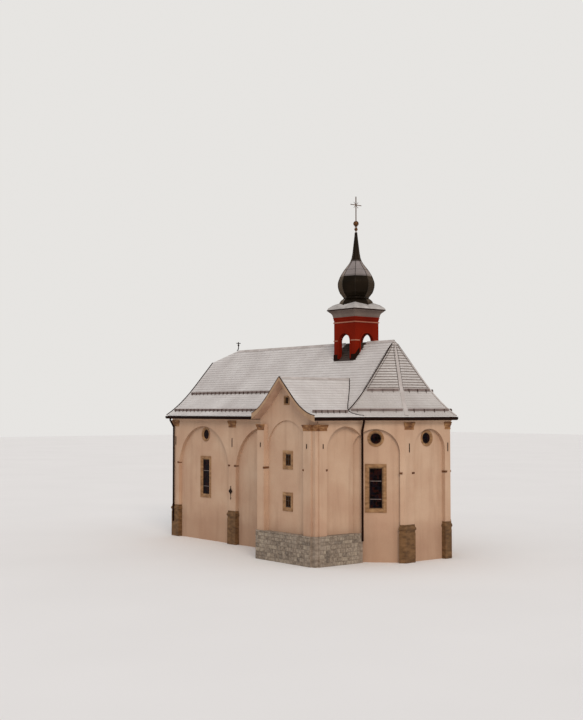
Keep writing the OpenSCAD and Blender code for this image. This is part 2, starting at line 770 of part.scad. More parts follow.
// Sheet metal over a hip of the apse, lying on the two slopes beside it
module hip_cap(i) {
    scales = flipped([for (d = stops(main_half*0.03, main_half, main_bend)) d/main_half]);
    loft([for (s = scales)
        let (ring = apse_ring(s), z = main_z(s*main_half),
             w = min(i == 1 || i == 4 ? 60 : 110, 0.3*norm(ring[i] - ring[i + 1]),
                     0.3*norm(ring[i] - ring[i - 1])),
             a = ring[i] + unit(ring[i - 1] - ring[i])*w,
             b = ring[i] + unit(ring[i + 1] - ring[i])*w,
             out = unit(ring[i] - [apex_x, 0])*14)
        [[a[0], a[1], z], [a[0] + out[0], a[1] + out[1], z + 26],
         [ring[i][0] + out[0], ring[i][1] + out[1], z + 34],
         [b[0] + out[0], b[1] + out[1], z + 26], [b[0], b[1], z], [ring[i][0], ring[i][1], z]]],
        [[0, 1, 2, 5], [2, 3, 4, 5]]);
}

module roof_caps() {
    w = 120;
    color(shingle) placed() {
        for (i = [1:4]) hip_cap(i);
        for (span = [[hip_x, belfry_x - belfry_w/2 - 25], [belfry_x + belfry_w/2 + 25, apex_x]])
            along_x(span[0], span[1])
                polygon([[-w, main_z(w)], [0, ridge_z], [w, main_z(w)], [w, main_z(w) + 34],
                         [0, ridge_z + 36], [-w, main_z(w) + 34]]);
        difference() {
            along_y(sac_y - verge_out[1], -1500)
                polygon([[-w, sac_z(w)], [0, sac_ridge_z], [w, sac_z(w)], [w, sac_z(w) + 34],
                         [0, sac_ridge_z + 36], [-w, sac_z(w) + 34]]);
            main_mass();
        }
    }
}

gutter_paths = [
    [outline[0] - [verge_out[0], 0], [-sac_left, -half_w]],
    [[sac_east_x, sac_y - verge_out[1]], [sac_east_x, diag_y], outline[2], outline[3], outline[4],
     outline[5] - [verge_out[0], 0]]];

// Half-round bottom with upright sides
function trough(r) = [for (p = concat([[-r, 60]], round_points(r, 180, 360, 10), [[r, 75]]))
    p + [drip, gutter_z]];

module gutters() {
    section = concat(trough(gutter_r), flipped(trough(gutter_r - 12)));
    color(sheet_metal) placed() for (path = gutter_paths) carried(path, section, band_ends(13));
}

// Downpipe from the gutter to the wall and down to the ground
module downpipe(gutter_at, wall_at, foot_z) {
    r = 56;
    top = [gutter_at[0], gutter_at[1], gutter_z - gutter_r];
    bend = [wall_at[0], wall_at[1], top[2] - 520];
    knee = top - [0, 0, 90];
    rod(knee, top, r);
    translate(knee) sphere(r + 4);
    rod(bend, knee, r);
    translate(bend) sphere(r + 4);
    rod([bend[0], bend[1], foot_z], bend, r);
}

module downpipes() {
    off = 56 + 25;
    color(sheet_metal) placed() {
        downpipe(on_face(south, west_x + 190, -drip), on_face(south, west_x + 190, -off), -500);
        downpipe(on_face(north, -west_x - 190, -drip), on_face(north, -west_x - 190, -off), -500);
        downpipe([sac_east_x, diag_y] + turned([0, -drip*1.08], 67.5),
                 [sac_east_x, diag_y] + turned([0, -off*1.4], 67.5), -300);
        downpipe(on_face(north, -corner_x + 330, -drip), on_face(north, -corner_x + 330, -off), -900);
    }
}

// Two rails on bracket plates, standing on the slope
module guard(a, b, z, spacing) {
    for (h = [60, 130])
        carried([a, b], [[-11, z + h - 11], [11, z + h - 11], [11, z + h + 11], [-11, z + h + 11]]);
    n = ceil(norm(b - a)/spacing);
    turn = atan2(b[1] - a[1], b[0] - a[0]);
    for (k = [0:n - 1]) {
        p = a + (b - a)*(k + 0.5)/n;
        translate([p[0], p[1], z]) rotate([0, 0, turn]) rotate([90, 0, 90])
            linear_extrude(16, center = true)
                polygon([[-60, -95], [60, -15], [60, 110], [25, 160], [-35, 160], [-60, 110]]);
    }
}

// Guards on the apse stop short of the hips
module apse_guards(s) {
    ring = apse_ring(s);
    gap = 170;
    for (i = [1:3]) {
        along = unit(ring[i + 1] - ring[i]);
        guard(ring[i] + along*gap, ring[i + 1] - along*gap, main_z(s*main_half), 800);
    }
}

module snow_guards() {
    low = 0.915;
    high = 0.612;
    color(iron) placed() difference() {
        union() {
            for (s = [[low, -2300], [high, -950]]) {
                y = s[0]*main_half;
                guard([west_x + 100, -y], [s[1], -y], main_z(y), 425);
                guard([apse_ring(s[0])[4][0] - 200, y], [west_x + 100, y], main_z(y), 425);
                apse_guards(s[0]);
            }
            guard([2250, sac_y + 100], [2250, -3900], sac_z(2250), 425);
        }
        main_mass();
        translate([0, 0, 1]) sac_mass();
    }
}

module sac_mass() {
    along_y(sac_y, -1500)
        polygon(concat([[-sac_left, drip_z[0]]], flip_x(sac_line(0, sac_left, 0)),
                       sac_line(0, sac_right, 0), [[sac_right, drip_z[0]]]));
}

// Wrought finial: a curled foot on the half hip, a stem and a small cross
module ridge_finial() {
    r = 28;
    bend_r = 170;
    color(iron) placed() translate([hip_x, 0, ridge_z + 36]) {
        translate([-bend_r, 0, bend_r]) rotate([90, 0, 0]) rotate_extrude(angle = -80)
            translate([bend_r, 0]) circle(r);
        translate([0, 0, bend_r]) cylinder(h = 360, r = r);
        translate([0, 0, 330]) sphere(60);
        translate([-22, -150, 430]) cube([44, 300, 44]);
    }
}

// Outline of a belfry arch, open down to the roof
module belfry_arch(extra) {
    r = belfry_arch_half + extra;
    spring = 10140;
    translate([-r, 8800]) square([2*r, spring - 8800]);
    translate([0, spring]) circle(r);
}

module belfry_cuts(extra) {
    reach = belfry_w/2 + 200;
    translate([belfry_x, 0, 0]) along_y(-reach, reach) belfry_arch(extra);
    along_x(belfry_x - reach, belfry_x + reach) belfry_arch(extra);
}

module square_tube(outer, inner, z0, z1) {
    translate([belfry_x, 0, z0]) linear_extrude(z1 - z0) difference() {
        square(outer, center = true);
        square(inner, center = true);
    }
}

module belfry_walls() {
    color(red) placed() difference() {
        union() {
            square_tube(belfry_w, belfry_w - 2*belfry_t, 8900, belfry_top_z);
            square_tube(belfry_w + 40, belfry_w - 1, 11330, belfry_top_z);
            square_tube(belfry_w + 80, belfry_w - 1, 11430, belfry_top_z);
            intersection() {
                square_tube(belfry_w + 60, belfry_w - 1, 9200, 11000);
                belfry_cuts(90);
            }
        }
        belfry_cuts(0);
        under_main(belfry_x - 2000, belfry_x + 2000, 0);
    }
}

// The two light string courses, the lower one broken by the arches
module belfry_mouldings() {
    color(lime) placed() difference() {
        union() {
            square_tube(belfry_w + 70, belfry_w, 11180, 11240);
            square_tube(belfry_w + 50, belfry_w, 10165, 10225);
        }
        belfry_cuts(90);
        translate([0, 0, 330]) under_main(belfry_x - 2000, belfry_x + 2000, 0);
    }
}

module belfry_flashing() {
    color(sheet_metal) placed() difference() {
        intersection() {
            square_tube(belfry_w + 50, belfry_w, 8800, 10500);
            translate([0, 0, 330]) under_main(belfry_x - 2000, belfry_x + 2000, 0);
        }
        under_main(belfry_x - 2000, belfry_x + 2000, 0);
        belfry_cuts(0);
    }
}

function square_ring(h, z) = [for (q = [[-1, -1], [1, -1], [1, 1], [-1, 1]])
    [belfry_x + q[0]*h, q[1]*h, z]];

module belfry_cornice() {
    profile = [[915, 0], [915, 45], [930, 55], [936, 110], [960, 180], [1010, 250], [1065, 300],
               [1092, 310], [1092, 340], [1125, 345], [1125, 385]];
    color(grey) placed() loft([for (p = profile) square_ring(p[0], belfry_top_z + p[1])]);
}

// Low bell-cast pyramid that carries the dome
module skirt_pyramid() {
    profile = [[1155, 385], [1155, 440], [1115, 535], [1000, 635], [940, 690], [665, 820], [385, 950]];
    loft([for (p = profile) square_ring(p[0], belfry_top_z + p[1])]);
}

module belfry_skirt_roof() {
    color(grey) placed() skirt_pyramid();
}

// Radius of the dome's arrises against height above the belfry walls
onion_points = [[600, 985], [700, 970], [800, 955], [870, 910], [945, 850], [1000, 785], [1055, 710],
                [1105, 688], [1165, 730], [1220, 776], [1280, 820], [1335, 868], [1390, 905], [1450, 930],
                [1560, 972], [1670, 1002], [1790, 1016], [1900, 1018], [2000, 1003], [2130, 958],
                [2290, 895], [2480, 790], [2670, 663], [2850, 522], [3000, 404], [3150, 314], [3320, 247],
                [3600, 193], [3960, 150], [4300, 110], [4610, 75], [4790, 60]];

// Points of a smooth curve through the list, n to a span
function spline(list, n) = let (last = len(list) - 1) concat(
    [for (i = [0:last - 1], k = [0:n - 1])
        let (t = k/n, a = list[max(i - 1, 0)], b = list[i], c = list[i + 1], d = list[min(i + 2, last)])
        0.5*(2*b + (c - a)*t + (2*a - 5*b + 4*c - d)*t^2 + (3*b - a - 3*c + d)*t^3)],
    [list[last]]);

module onion_dome() {
    curve = spline(onion_points, 2);
    color(sheet_metal) placed() difference() {
        translate([belfry_x, 0, belfry_top_z]) rotate_extrude($fn = 8)
            polygon(concat([[0, 600]], [for (p = curve) [p[1], p[0]]], [[0, 4790]]));
        translate([0, 0, -0.01]) skirt_pyramid();
        translate([belfry_x - 1000, -1000, belfry_top_z]) cube([2000, 2000, 602]);
    }
}

module spire_balls() {
    color(bronze) placed() translate([belfry_x, 0, 0]) {
        translate([0, 0, 16290]) cylinder(h = 710, r = 30);
        translate([0, 0, 16470]) sphere(95);
        translate([0, 0, 16590]) cylinder(h = 30, r = 80);
        translate([0, 0, 16790]) sphere(154);
    }
}

module spire_cross() {
    arm_z = 17840;
    color(bronze) placed() translate([belfry_x, 0, 0]) {
        translate([-20, -20, 17000]) cube([40, 40, cross_top_z - 17000]);
        translate([-18, -400, arm_z - 18]) cube([36, 800, 36]);
        for (a = [45:90:315]) translate([0, 0, arm_z]) rotate([a, 0, 0]) translate([-9, -9, 0])
            cube([18, 18, 230]);
    }
}

nave_south_wall();
nave_north_wall();
west_gable_wall();
apse_southeast_wall();
apse_east_wall();
apse_northeast_wall();
sacristy_gable_wall();
sacristy_west_wall();
sacristy_east_wall();
sacristy_footing();
ground_floors();
sacristy_upper_floor();
pilaster_pedestals();
pilaster_capitals();
impost_blocks();
wall_anchors();
iron_bracket();
eaves_cornice();
window_surrounds();
window_glass();
oculus_surrounds();
oculus_glass();
sacristy_window_surrounds();
sacristy_window_glass();
door_surround();
west_door();
nave_roof_south();
nave_roof_north();
half_hip();
apse_roof();
sacristy_roof();
verge_boards();
verge_soffit();
roof_caps();
gutters();
downpipes();
snow_guards();
ridge_finial();
belfry_walls();
belfry_mouldings();
belfry_flashing();
belfry_cornice();
belfry_skirt_roof();
onion_dome();
spire_balls();
spire_cross();
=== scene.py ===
# %% [markdown]
# # A small chapel under a dusting of snow
# The walls, roofs, windows and dome come from a CAD file and are already the right size.
# This script gives them their finishes and adds what a maker would fix on last: shingles,
# leads, straps, flashings, seams and rubble. Everything is in metres.

# %% Load the frame
import bpy
import bmesh
import functools
import math
import random
from mathutils import Matrix, Vector


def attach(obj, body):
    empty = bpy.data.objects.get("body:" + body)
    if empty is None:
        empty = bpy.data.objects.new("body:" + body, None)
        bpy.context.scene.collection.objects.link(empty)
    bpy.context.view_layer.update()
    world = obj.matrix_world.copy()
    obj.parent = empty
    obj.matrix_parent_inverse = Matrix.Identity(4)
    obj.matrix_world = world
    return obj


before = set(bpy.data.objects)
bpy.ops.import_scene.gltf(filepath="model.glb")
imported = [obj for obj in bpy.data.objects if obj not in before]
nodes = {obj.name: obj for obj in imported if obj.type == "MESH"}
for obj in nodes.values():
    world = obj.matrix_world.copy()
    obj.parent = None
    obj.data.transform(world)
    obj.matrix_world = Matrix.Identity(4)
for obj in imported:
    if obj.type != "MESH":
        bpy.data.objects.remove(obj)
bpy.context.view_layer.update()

# %% [markdown]
# ## Camera
# The picture was taken from the south-east, about 60 m away and level with the eaves. Azimuth
# turns the camera about the upright axis, and a small tilt lifts its view. The sensor is as tall
# as the long side of the picture, so the lens is worked out from that side.

# %% Camera
AZIMUTH = math.radians(51.52)
UPWARD_TILT = math.radians(2.53)
STANDPOINT = (51.1675, -41.1885, 7.734)
FOCAL_PIXELS = 1142.6
PICTURE_HEIGHT = 720
SENSOR = 36

camera = bpy.data.objects.new("camera", bpy.data.cameras.new("camera"))
bpy.context.scene.collection.objects.link(camera)
camera.data.sensor_width = SENSOR
camera.data.lens = FOCAL_PIXELS/PICTURE_HEIGHT*SENSOR
camera.data.clip_end = 500
camera.matrix_world = (Matrix.Translation(STANDPOINT)
                       @ Matrix.Rotation(AZIMUTH, 4, "Z")
                       @ Matrix.Rotation(math.pi/2 + UPWARD_TILT, 4, "X"))
bpy.context.scene.camera = camera
print("lens", round(camera.data.lens, 2), "mm")

# %% [markdown]
# ## Colours and nodes
# Colours are written as the hex values that a screen shows. Shaders work with linear light, so
# one function turns them. The sizes of patterns are written in millimetres. Another function adds
# a node, sets it, links it and hands back what comes out of it, which keeps each material's
# recipe down to a few lines.

# %% Colour, scale and node helpers
def linear(hex_colour):
    parts = [int(hex_colour[i:i + 2], 16)/255 for i in (1, 3, 5)]
    return [p/12.92 if p <= 0.04045 else ((p + 0.055)/1.055)**2.4 for p in parts] + [1]


def each(mm):
    """Scale of a texture whose blobs are about this many millimetres apart."""
    return 1000/mm


def wire(node, inputs):
    """Sets or links inputs, by name or number, from a number, a hex colour or a socket."""
    for key, value in inputs.items():
        if isinstance(value, bpy.types.NodeSocket):
            node.id_data.links.new(value, node.inputs[key])
        else:
            node.inputs[key].default_value = linear(value) if isinstance(value, str) else value


def add_node(tree, kind, inputs, out=0, stops=(), **settings):
    """Adds a node and gives back its output. stops are the (place, hex colour) of a ramp."""
    made = tree.nodes.new("ShaderNode" + kind)
    for name, value in settings.items():
        setattr(made, name, value)
    wire(made, inputs)
    for k, (at, colour) in enumerate(stops):
        band = made.color_ramp.elements
        element = band[k] if k < 2 else band.new(at)
        element.position = at
        element.color = linear(colour)
    return made.outputs[out]


def start(name):
    """A new material, what adds nodes to it, its shader and each point's place on the object."""
    material = bpy.data.materials.new(name)
    material.use_nodes = True
    tree = material.node_tree
    add = functools.partial(add_node, tree)
    return material, add, tree.nodes["Principled BSDF"], add("TexCoord", {}, "Object")


def upward(add):
    """How far a face looks upwards: 1 is level, 0 is upright."""
    return add("SeparateXYZ", {0: add("NewGeometry", {}, "True Normal")}, 2)

# %% [markdown]
# ## Lime plaster
# Lime render thrown on, floated and painted with several thin coats of limewash. It is quite
# matt, its colour drifts in soft clouds over metres, rain has left runs under the eaves, and the
# foot of the wall is damp. The sand in it is 2 mm across and is drawn ten times as coarse, or the
# camera would not see it. One recipe serves the peach walls, the red belfry, its faded mouldings
# and the grey stucco of its cornice.

# %% Limewashes
GROUND = 1.4    # ground at the sacristy, above the lowest ground
DAMP_FROM, DAMP_TO = GROUND + 1.3, GROUND + 0.2


def limewash(name, tones, stain, streaks=0.35):
    material, add, shader, place = start(name)
    drift = add("TexNoise", {"Vector": place, "Scale": each(2200), "Detail": 6})
    colour = add("ValToRGB", {0: drift}, stops=zip((0.3, 0.5, 0.72), tones))
    drawn_down = add("Mapping", {"Vector": place, "Scale": (1, 1, 0.12)})
    runs = add("TexNoise", {"Vector": drawn_down, "Scale": each(455), "Detail": 5})
    runs = add("MapRange", {0: runs, 1: 0.5, 2: 0.75, 3: 0, 4: streaks})
    colour = add("Mix", {0: runs, 6: colour, 7: stain}, 2, data_type="RGBA")
    height = add("SeparateXYZ", {0: place}, 2)
    patches = add("TexNoise", {"Vector": place, "Scale": each(625), "Detail": 5})
    ragged = add("Math", {0: height, 1: patches}, operation="ADD")
    damp = add("MapRange", {0: ragged, 1: DAMP_FROM, 2: DAMP_TO, 3: 0, 4: 0.42})
    colour = add("Mix", {0: damp, 6: colour, 7: stain}, 2, data_type="RGBA")
    sand = add("TexNoise", {"Vector": place, "Scale": each(22), "Detail": 3})
    speckle = add("ValToRGB", {0: sand}, stops=((0.35, stain), (0.65, tones[2])))
    colour = add("Mix", {0: 0.12, 6: colour, 7: speckle}, 2, data_type="RGBA")
    float_marks = add("TexNoise", {"Vector": place, "Scale": each(286), "Detail": 3})
    relief = add("Mix", {0: 0.35, 6: float_marks, 7: sand}, 2, data_type="RGBA")
    wire(shader, {
        "Base Color": colour, "Roughness": 0.92, "Specular IOR Level": 0.06,
        "Normal": add("Bump", {"Height": relief, "Distance": 0.006, "Strength": 0.5})})
    return material


peach_limewash = limewash("peach_limewash", ("#b08e76", "#b99a81", "#c3a78e"), "#8f6d57")
red_limewash = limewash("red_limewash", ("#5f1004", "#6d1605", "#7b1c07"), "#420d05", 0.2)
faded_limewash = limewash("faded_limewash", ("#8a5544", "#9c6653", "#ab7763"), "#6e3c2c", 0.25)
grey_stucco = limewash("grey_stucco", ("#64564f", "#73655d", "#82746b"), "#4d4039", 0.3)
print("four limewashes ready")

# %% [markdown]
# ## Stone
# The pedestals, capitals and window bands are a coarse ochre sandstone, sawn along its beds,
# dressed with a chisel and weathered darker in its hollows. The beds are about 130 mm apart and
# the chisel pits 36 mm. The footing is field stone in lime mortar, laid as it came.

# %% Sandstone and mortar
def sandstone(name, dark, middle, pale):
    material, add, shader, place = start(name)
    bedded = add("Mapping", {"Vector": place, "Scale": (1, 1, 2.5)})
    beds = add("TexNoise", {"Vector": bedded, "Scale": each(333), "Detail": 6})
    colour = add("ValToRGB", {0: beds}, stops=((0.3, dark), (0.5, middle), (0.7, pale)))
    pits = add("TexVoronoi", {"Vector": place, "Scale": each(36)})
    pits = add("MapRange", {0: pits, 1: 0.28, 2: 0.05, 3: 0, 4: 0.5})
    colour = add("Mix", {0: pits, 6: colour, 7: dark}, 2, data_type="RGBA")
    grit = add("TexNoise", {"Vector": place, "Scale": each(17), "Detail": 4})
    relief = add("Mix", {0: 0.5, 6: beds, 7: grit}, 2, data_type="RGBA")
    wire(shader, {
        "Base Color": colour, "Roughness": 0.9,
        "Normal": add("Bump", {"Height": relief, "Distance": 0.012, "Strength": 0.6})})
    return material


pedestal_stone = sandstone("weathered_sandstone", "#4b3218", "#614425", "#745433")
capital_stone = sandstone("iron_rich_sandstone", "#522f17", "#7e5430", "#a27a4f")
impost_stone = sandstone("iron_dark_sandstone", "#452711", "#5a3517", "#73492a")
window_stone = sandstone("ochre_sandstone", "#6f5235", "#8a6644", "#a07e58")
lime_mortar = sandstone("lime_mortar", "#6f6152", "#857667", "#988a7b")
print("sandstones cut")

# %% Field stone
# Each stone has its own tone, read from an attribute, and lichen blotches 110 mm across.
field_stone, add, shader, place = start("field_stone")
tone = add("Attribute", {}, "Fac", attribute_name="weather")
tone = add("ValToRGB", {0: tone},
           stops=((0, "#5d5248"), (0.35, "#7b6c5c"), (0.7, "#8f8172"), (1, "#a0927f")))
lichen = add("TexNoise", {"Vector": place, "Scale": each(110), "Detail": 6})
lichen = add("ValToRGB", {0: lichen}, stops=((0.35, "#4f4439"), (0.7, "#a89a88")))
colour = add("Mix", {0: 0.45, 6: tone, 7: lichen}, 2, data_type="RGBA")
rough = add("TexNoise", {"Vector": place, "Scale": each(33), "Detail": 5})
wire(shader, {
    "Base Color": colour, "Roughness": 0.88,
    "Normal": add("Bump", {"Height": rough, "Distance": 0.01, "Strength": 0.6})})
print("field stone with", len(field_stone.node_tree.nodes), "nodes")

# %% [markdown]
# ## Snowy shingles
# Split larch shingles turn silver-brown with age. Snow lies on their faces and leaves the lower
# edge of each course bare, with a painted shadow along it, so thin dark lines run across the roof.
# Each shingle carries four numbers in an attribute: its own tint, how far down it a point lies,
# how bare and shaded its edge is and how much painted shade darkens its snow. Where an edge is
# hardly bare, the butt faces get a painted light, whiter than the snow, and the line is faint.
# Inside the belfry the third number is 2 and the roof stays wood, darkened with painted shade.

# %% Larch under the snow
snowy_shingles, add, shader, place = start("snowy_larch_shingles")
weather = add("Attribute", {}, slice(0, 4), attribute_name="weather")
tint, down, bare = add("SeparateColor", {0: weather[0]}, slice(0, 3))
painted_snow_shade = weather[3]
split = add("Mapping", {"Vector": place, "Scale": (1, 1, 0.3)})
grain = add("TexNoise", {"Vector": split, "Scale": each(71), "Detail": 4})
grain = add("ValToRGB", {0: grain}, stops=((0.3, "#3f342d"), (0.7, "#6b5d52")))
aged = add("ValToRGB", {0: tint}, stops=((0, "#4a3d34"), (1, "#7c6f64")))
wood = add("Mix", {0: 0.5, 6: grain, 7: aged}, 2, data_type="RGBA")
# Painted shade: inside the belfry the roof is bare wood, darkened to #33251d.
indoors = add("MapRange", {0: bare, 1: 1.2, 2: 1.8})
wood = add("Mix", {0: indoors, 6: wood, 7: "#33251d"}, 2, data_type="RGBA")
print("bare wood first")

# %% Snow and where it lies
drifts = add("TexNoise", {"Vector": place, "Scale": each(1800), "Detail": 5})
snow = add("ValToRGB", {0: drifts}, stops=((0.3, "#b7b1ad"), (0.55, "#c6c1bd"), (0.75, "#d0ccc8")))
uneven = add("MapRange", {0: tint, 1: 0, 2: 1, 3: 0, 4: 0.14})
snow = add("Mix", {0: uneven, 6: snow, 7: "#9d938c"}, 2, data_type="RGBA")
# Painted shade: the fourth number darkens the snow towards #83786f, on the apse.
snow = add("Mix", {0: painted_snow_shade, 6: snow, 7: "#83786f"}, 2, data_type="RGBA")
steep = add("MapRange", {0: upward(add), 1: 0.35, 2: 0.2})
# Painted light: where an edge is hardly bare, the upright butt faces are mixed towards #f0edea, whiter
# than the snow, so their shade hardly shows.
butt_light_share = add("MapRange", {0: bare, 1: 0.12, 2: 0.05, 3: 0, 4: 0.7})
painted_light_on_butts = add("Math", {0: steep, 1: butt_light_share}, operation="MULTIPLY")
snow = add("Mix", {0: painted_light_on_butts, 6: snow, 7: "#f0edea"}, 2, data_type="RGBA")
wander = add("TexNoise", {"Vector": place, "Scale": each(200), "Detail": 5})
wander = add("MapRange", {0: wander, 1: 0.3, 2: 0.7, 3: -0.09, 4: 0.09})
ragged = add("Math", {0: down, 1: wander}, operation="ADD")
# Bare wood with a painted shadow: a ragged band above each butt, as dark as the edge is bare.
edge = add("MapRange", {0: ragged, 1: 0.62, 2: 0.76})
edge = add("Math", {0: edge, 1: bare}, operation="MULTIPLY")
butts = add("MapRange", {0: bare, 1: 0.05, 2: 0.5, 3: 0.02, 4: 0.75})
butts = add("Math", {0: steep, 1: butts}, operation="MULTIPLY")
blown = add("TexNoise", {"Vector": place, "Scale": each(45), "Detail": 5})
blown = add("MapRange", {0: blown, 1: 0.62, 2: 0.75, 3: 0, 4: 0.35})
shown = edge
for cause in (butts, blown, indoors):
    shown = add("Math", {0: shown, 1: cause}, operation="MAXIMUM")
colour = add("Mix", {0: shown, 6: snow, 7: wood}, 2, data_type="RGBA")
crust = add("TexNoise", {"Vector": place, "Scale": each(56), "Detail": 5})
wire(shader, {
    "Base Color": colour, "Roughness": 0.85,
    "Normal": add("Bump", {"Height": crust, "Distance": 0.006, "Strength": 0.5})})
print("snow ready")

# %% Snow on cap boards and on sheet metal
def snowed_over(name, low, high, under, apart):
    """Snow that hides all but the faces that look sideways or down."""
    material, add, shader, place = start(name)
    cloud = add("TexNoise", {"Vector": place, "Scale": each(apart), "Detail": 5})
    colour = add("ValToRGB", {0: cloud}, stops=((0.32, low), (0.7, high)))
    steep = add("MapRange", {0: upward(add), 1: 0.38, 2: 0.2})
    colour = add("Mix", {0: steep, 6: colour, 7: under}, 2, data_type="RGBA")
    crust = add("TexNoise", {"Vector": place, "Scale": each(apart/5), "Detail": 4})
    wire(shader, {
        "Base Color": colour, "Roughness": 0.82,
        "Normal": add("Bump", {"Height": crust, "Distance": 0.008, "Strength": 0.5})})
    return material


snowy_caps = snowed_over("snow_on_cap_boards", "#9f9690", "#b9b1ac", "#5d5047", 500)
snowy_sheet = snowed_over("snow_on_sheet_metal", "#8f8a85", "#b3aea9", "#4a3024", 420)
print("snowy caps and sheet")

# %% [markdown]
# ## Metals
# Gutters, pipes and flashings are steel sheet in a dull dark brown paint with the dirt of many
# years. Anchors and guards are forged iron, and the saddle bars of the windows have a skin of rime.
# The grey boards behind the guards draw the guards' shadow and the bare roof there, in part a
# painted shadow. The cross and balls are bronze gone brown. Each has a colour that drifts a little
# and a roughness that drifts on its own.

# %% Metals
def weathered_metal(name, dark, pale, roughness, metallic, apart=400, gloss=0.5):
    material, add, shader, place = start(name)
    cloud = add("TexNoise", {"Vector": place, "Scale": each(apart), "Detail": 5})
    colour = add("ValToRGB", {0: cloud}, stops=((0.3, dark), (0.7, pale)))
    worn = add("TexNoise", {"Vector": place, "Scale": each(apart/4), "Detail": 4})
    worn = add("MapRange", {0: worn, 1: 0.3, 2: 0.7, 3: roughness - 0.08, 4: roughness + 0.1})
    wire(shader, {
        "Base Color": colour, "Roughness": worn, "Metallic": metallic,
        "Specular IOR Level": gloss,
        "Normal": add("Bump", {"Height": cloud, "Distance": 0.004, "Strength": 0.4})})
    return material


brown_paint = weathered_metal("brown_painted_steel", "#160a06", "#22110b", 0.85, 0, gloss=0.05)
dome_roll = weathered_metal("varnished_rolls", "#17120d", "#2b221b", 0.35, 0.8, 830)
forged_iron = weathered_metal("forged_iron", "#170d09", "#2a1a12", 0.85, 0.1, 83, 0.1)
brown_bronze = weathered_metal("brown_bronze", "#452b15", "#6a4626", 0.42, 0.8, 167)
lead_came = weathered_metal("lead_came", "#120e0c", "#1f1815", 0.8, 0.1, 50, 0.1)
guard_iron = weathered_metal("rusty_guard_iron", "#3a2a25", "#5e4b45", 0.7, 0.1, 111)
frame_iron = weathered_metal("dark_painted_iron", "#2a1f19", "#3d2e25", 0.8, 0.1, 125, 0.1)
saddle_iron = weathered_metal("rime_covered_iron", "#5f5450", "#776a64", 0.85, 0, 125, 0.1)
# Painted shadow: grey for the boards that draw the guards' shadow and bare roof.
guard_shade_paint = weathered_metal("grey_paint_for_guard_shade", "#8c7e79", "#a3948e", 0.8, 0, 300, 0.1)
print("metals ready")

# %% [markdown]
# ## Dome sheet
# The dome is sheet metal under a thick dark varnish. Its lower half leans over and mirrors the
# dark valley, and the upper half of the bulb leans back and mirrors the pale sky, with a sharp
# line between them. A plain studio has no valley, so the two tones are put into the sheet: the
# pale one lies where a face above the neck looks well upwards.

# %% Varnished sheet
dome_sheet, add, shader, place = start("varnished_dome_sheet")
cloud = add("TexNoise", {"Vector": place, "Scale": each(830), "Detail": 5})
varnish = add("ValToRGB", {0: cloud}, stops=((0.3, "#0d0a06"), (0.7, "#1c150e")))
pale = add("ValToRGB", {0: cloud}, stops=((0.3, "#7d7573"), (0.7, "#918988")))
leaning = add("MapRange", {0: upward(add), 1: 0.38, 2: 0.46})
height = add("SeparateXYZ", {0: place}, 2)
above_neck = add("MapRange", {0: height, 1: 14.7, 2: 14.9})
paled = add("Math", {0: leaning, 1: above_neck}, operation="MULTIPLY")
colour = add("Mix", {0: paled, 6: varnish, 7: pale}, 2, data_type="RGBA")
wire(shader, {
    "Base Color": colour, "Metallic": 0.6, "Roughness": 0.38, "Specular IOR Level": 0.25,
    "Specular Tint": "#e4cbb0",
    "Normal": add("Bump", {"Height": cloud, "Distance": 0.004, "Strength": 0.4})})
print("dome sheet ready")

# %% [markdown]
# ## Crown glass and boards
# Crown glass was blown and spun, so each quarry is slightly wavy. The church behind it is dark
# and the glass is nearly black, with a breath of smoke, blue or wine from one quarry to the next.
# The sacristy's panes are dark brown, a painted shade of the dim room behind them. Boards are
# sawn oak or spruce, grained along them.

# %% Glass
def glass(name, dark, middle, pale):
    material, add, shader, place = start(name)
    quarry = add("TexVoronoi", {"Vector": place, "Scale": each(143)}, "Color", distance="CHEBYCHEV")
    tone = add("ValToRGB", {0: quarry}, stops=((0.3, dark), (0.5, middle), (0.7, pale)))
    waves = add("TexNoise", {"Vector": place, "Scale": each(167), "Detail": 2})
    wire(shader, {
        "Base Color": tone, "Roughness": 0.2, "IOR": 1.52, "Specular IOR Level": 0.05,
        "Specular Tint": "#c8a48c",
        "Normal": add("Bump", {"Height": waves, "Distance": 0.004, "Strength": 0.5})})
    return material


crown_glass = glass("crown_glass", "#050304", "#090b14", "#260e0b")
# Painted shade: dark brown glass for the dim sacristy behind it.
room_shade_glass = glass("room_shade_window_glass", "#241306", "#301c09", "#3c260e")
print("glass ready")

# %% Timber
def boards(name, dark, pale, along):
    material, add, shader, place = start(name)
    sawn = add("Mapping", {"Vector": place, "Scale": along})
    grain = add("TexNoise", {"Vector": sawn, "Scale": each(33), "Detail": 6})
    colour = add("ValToRGB", {0: grain}, stops=((0.3, dark), (0.7, pale)))
    stain = add("TexNoise", {"Vector": place, "Scale": each(830), "Detail": 4})
    stain = add("MapRange", {0: stain, 1: 0.3, 2: 0.7, 3: 0, 4: 0.5})
    colour = add("Mix", {0: stain, 6: colour, 7: dark}, 2, data_type="RGBA")
    wire(shader, {
        "Base Color": colour, "Roughness": 0.7,
        "Normal": add("Bump", {"Height": grain, "Distance": 0.003, "Strength": 0.6})})
    return material


oak_boards = boards("oiled_oak", "#3b2414", "#6d4a2c", (1, 1, 0.06))
casement_oak = boards("smoked_oak", "#25150a", "#3f2a17", (1, 1, 0.1))
verge_timber = boards("limed_spruce", "#8f6f52", "#aa8a6b", (0.1, 0.1, 0.1))
soffit_timber = boards("limewashed_spruce", "#ab8972", "#c2a088", (0.1, 0.1, 0.1))
print("timber ready")

# %% [markdown]
# ## Dress the solids
# Each solid keeps its own mesh and only gets a finish. The other walls and the cove under the
# eaves are in peach limewash.

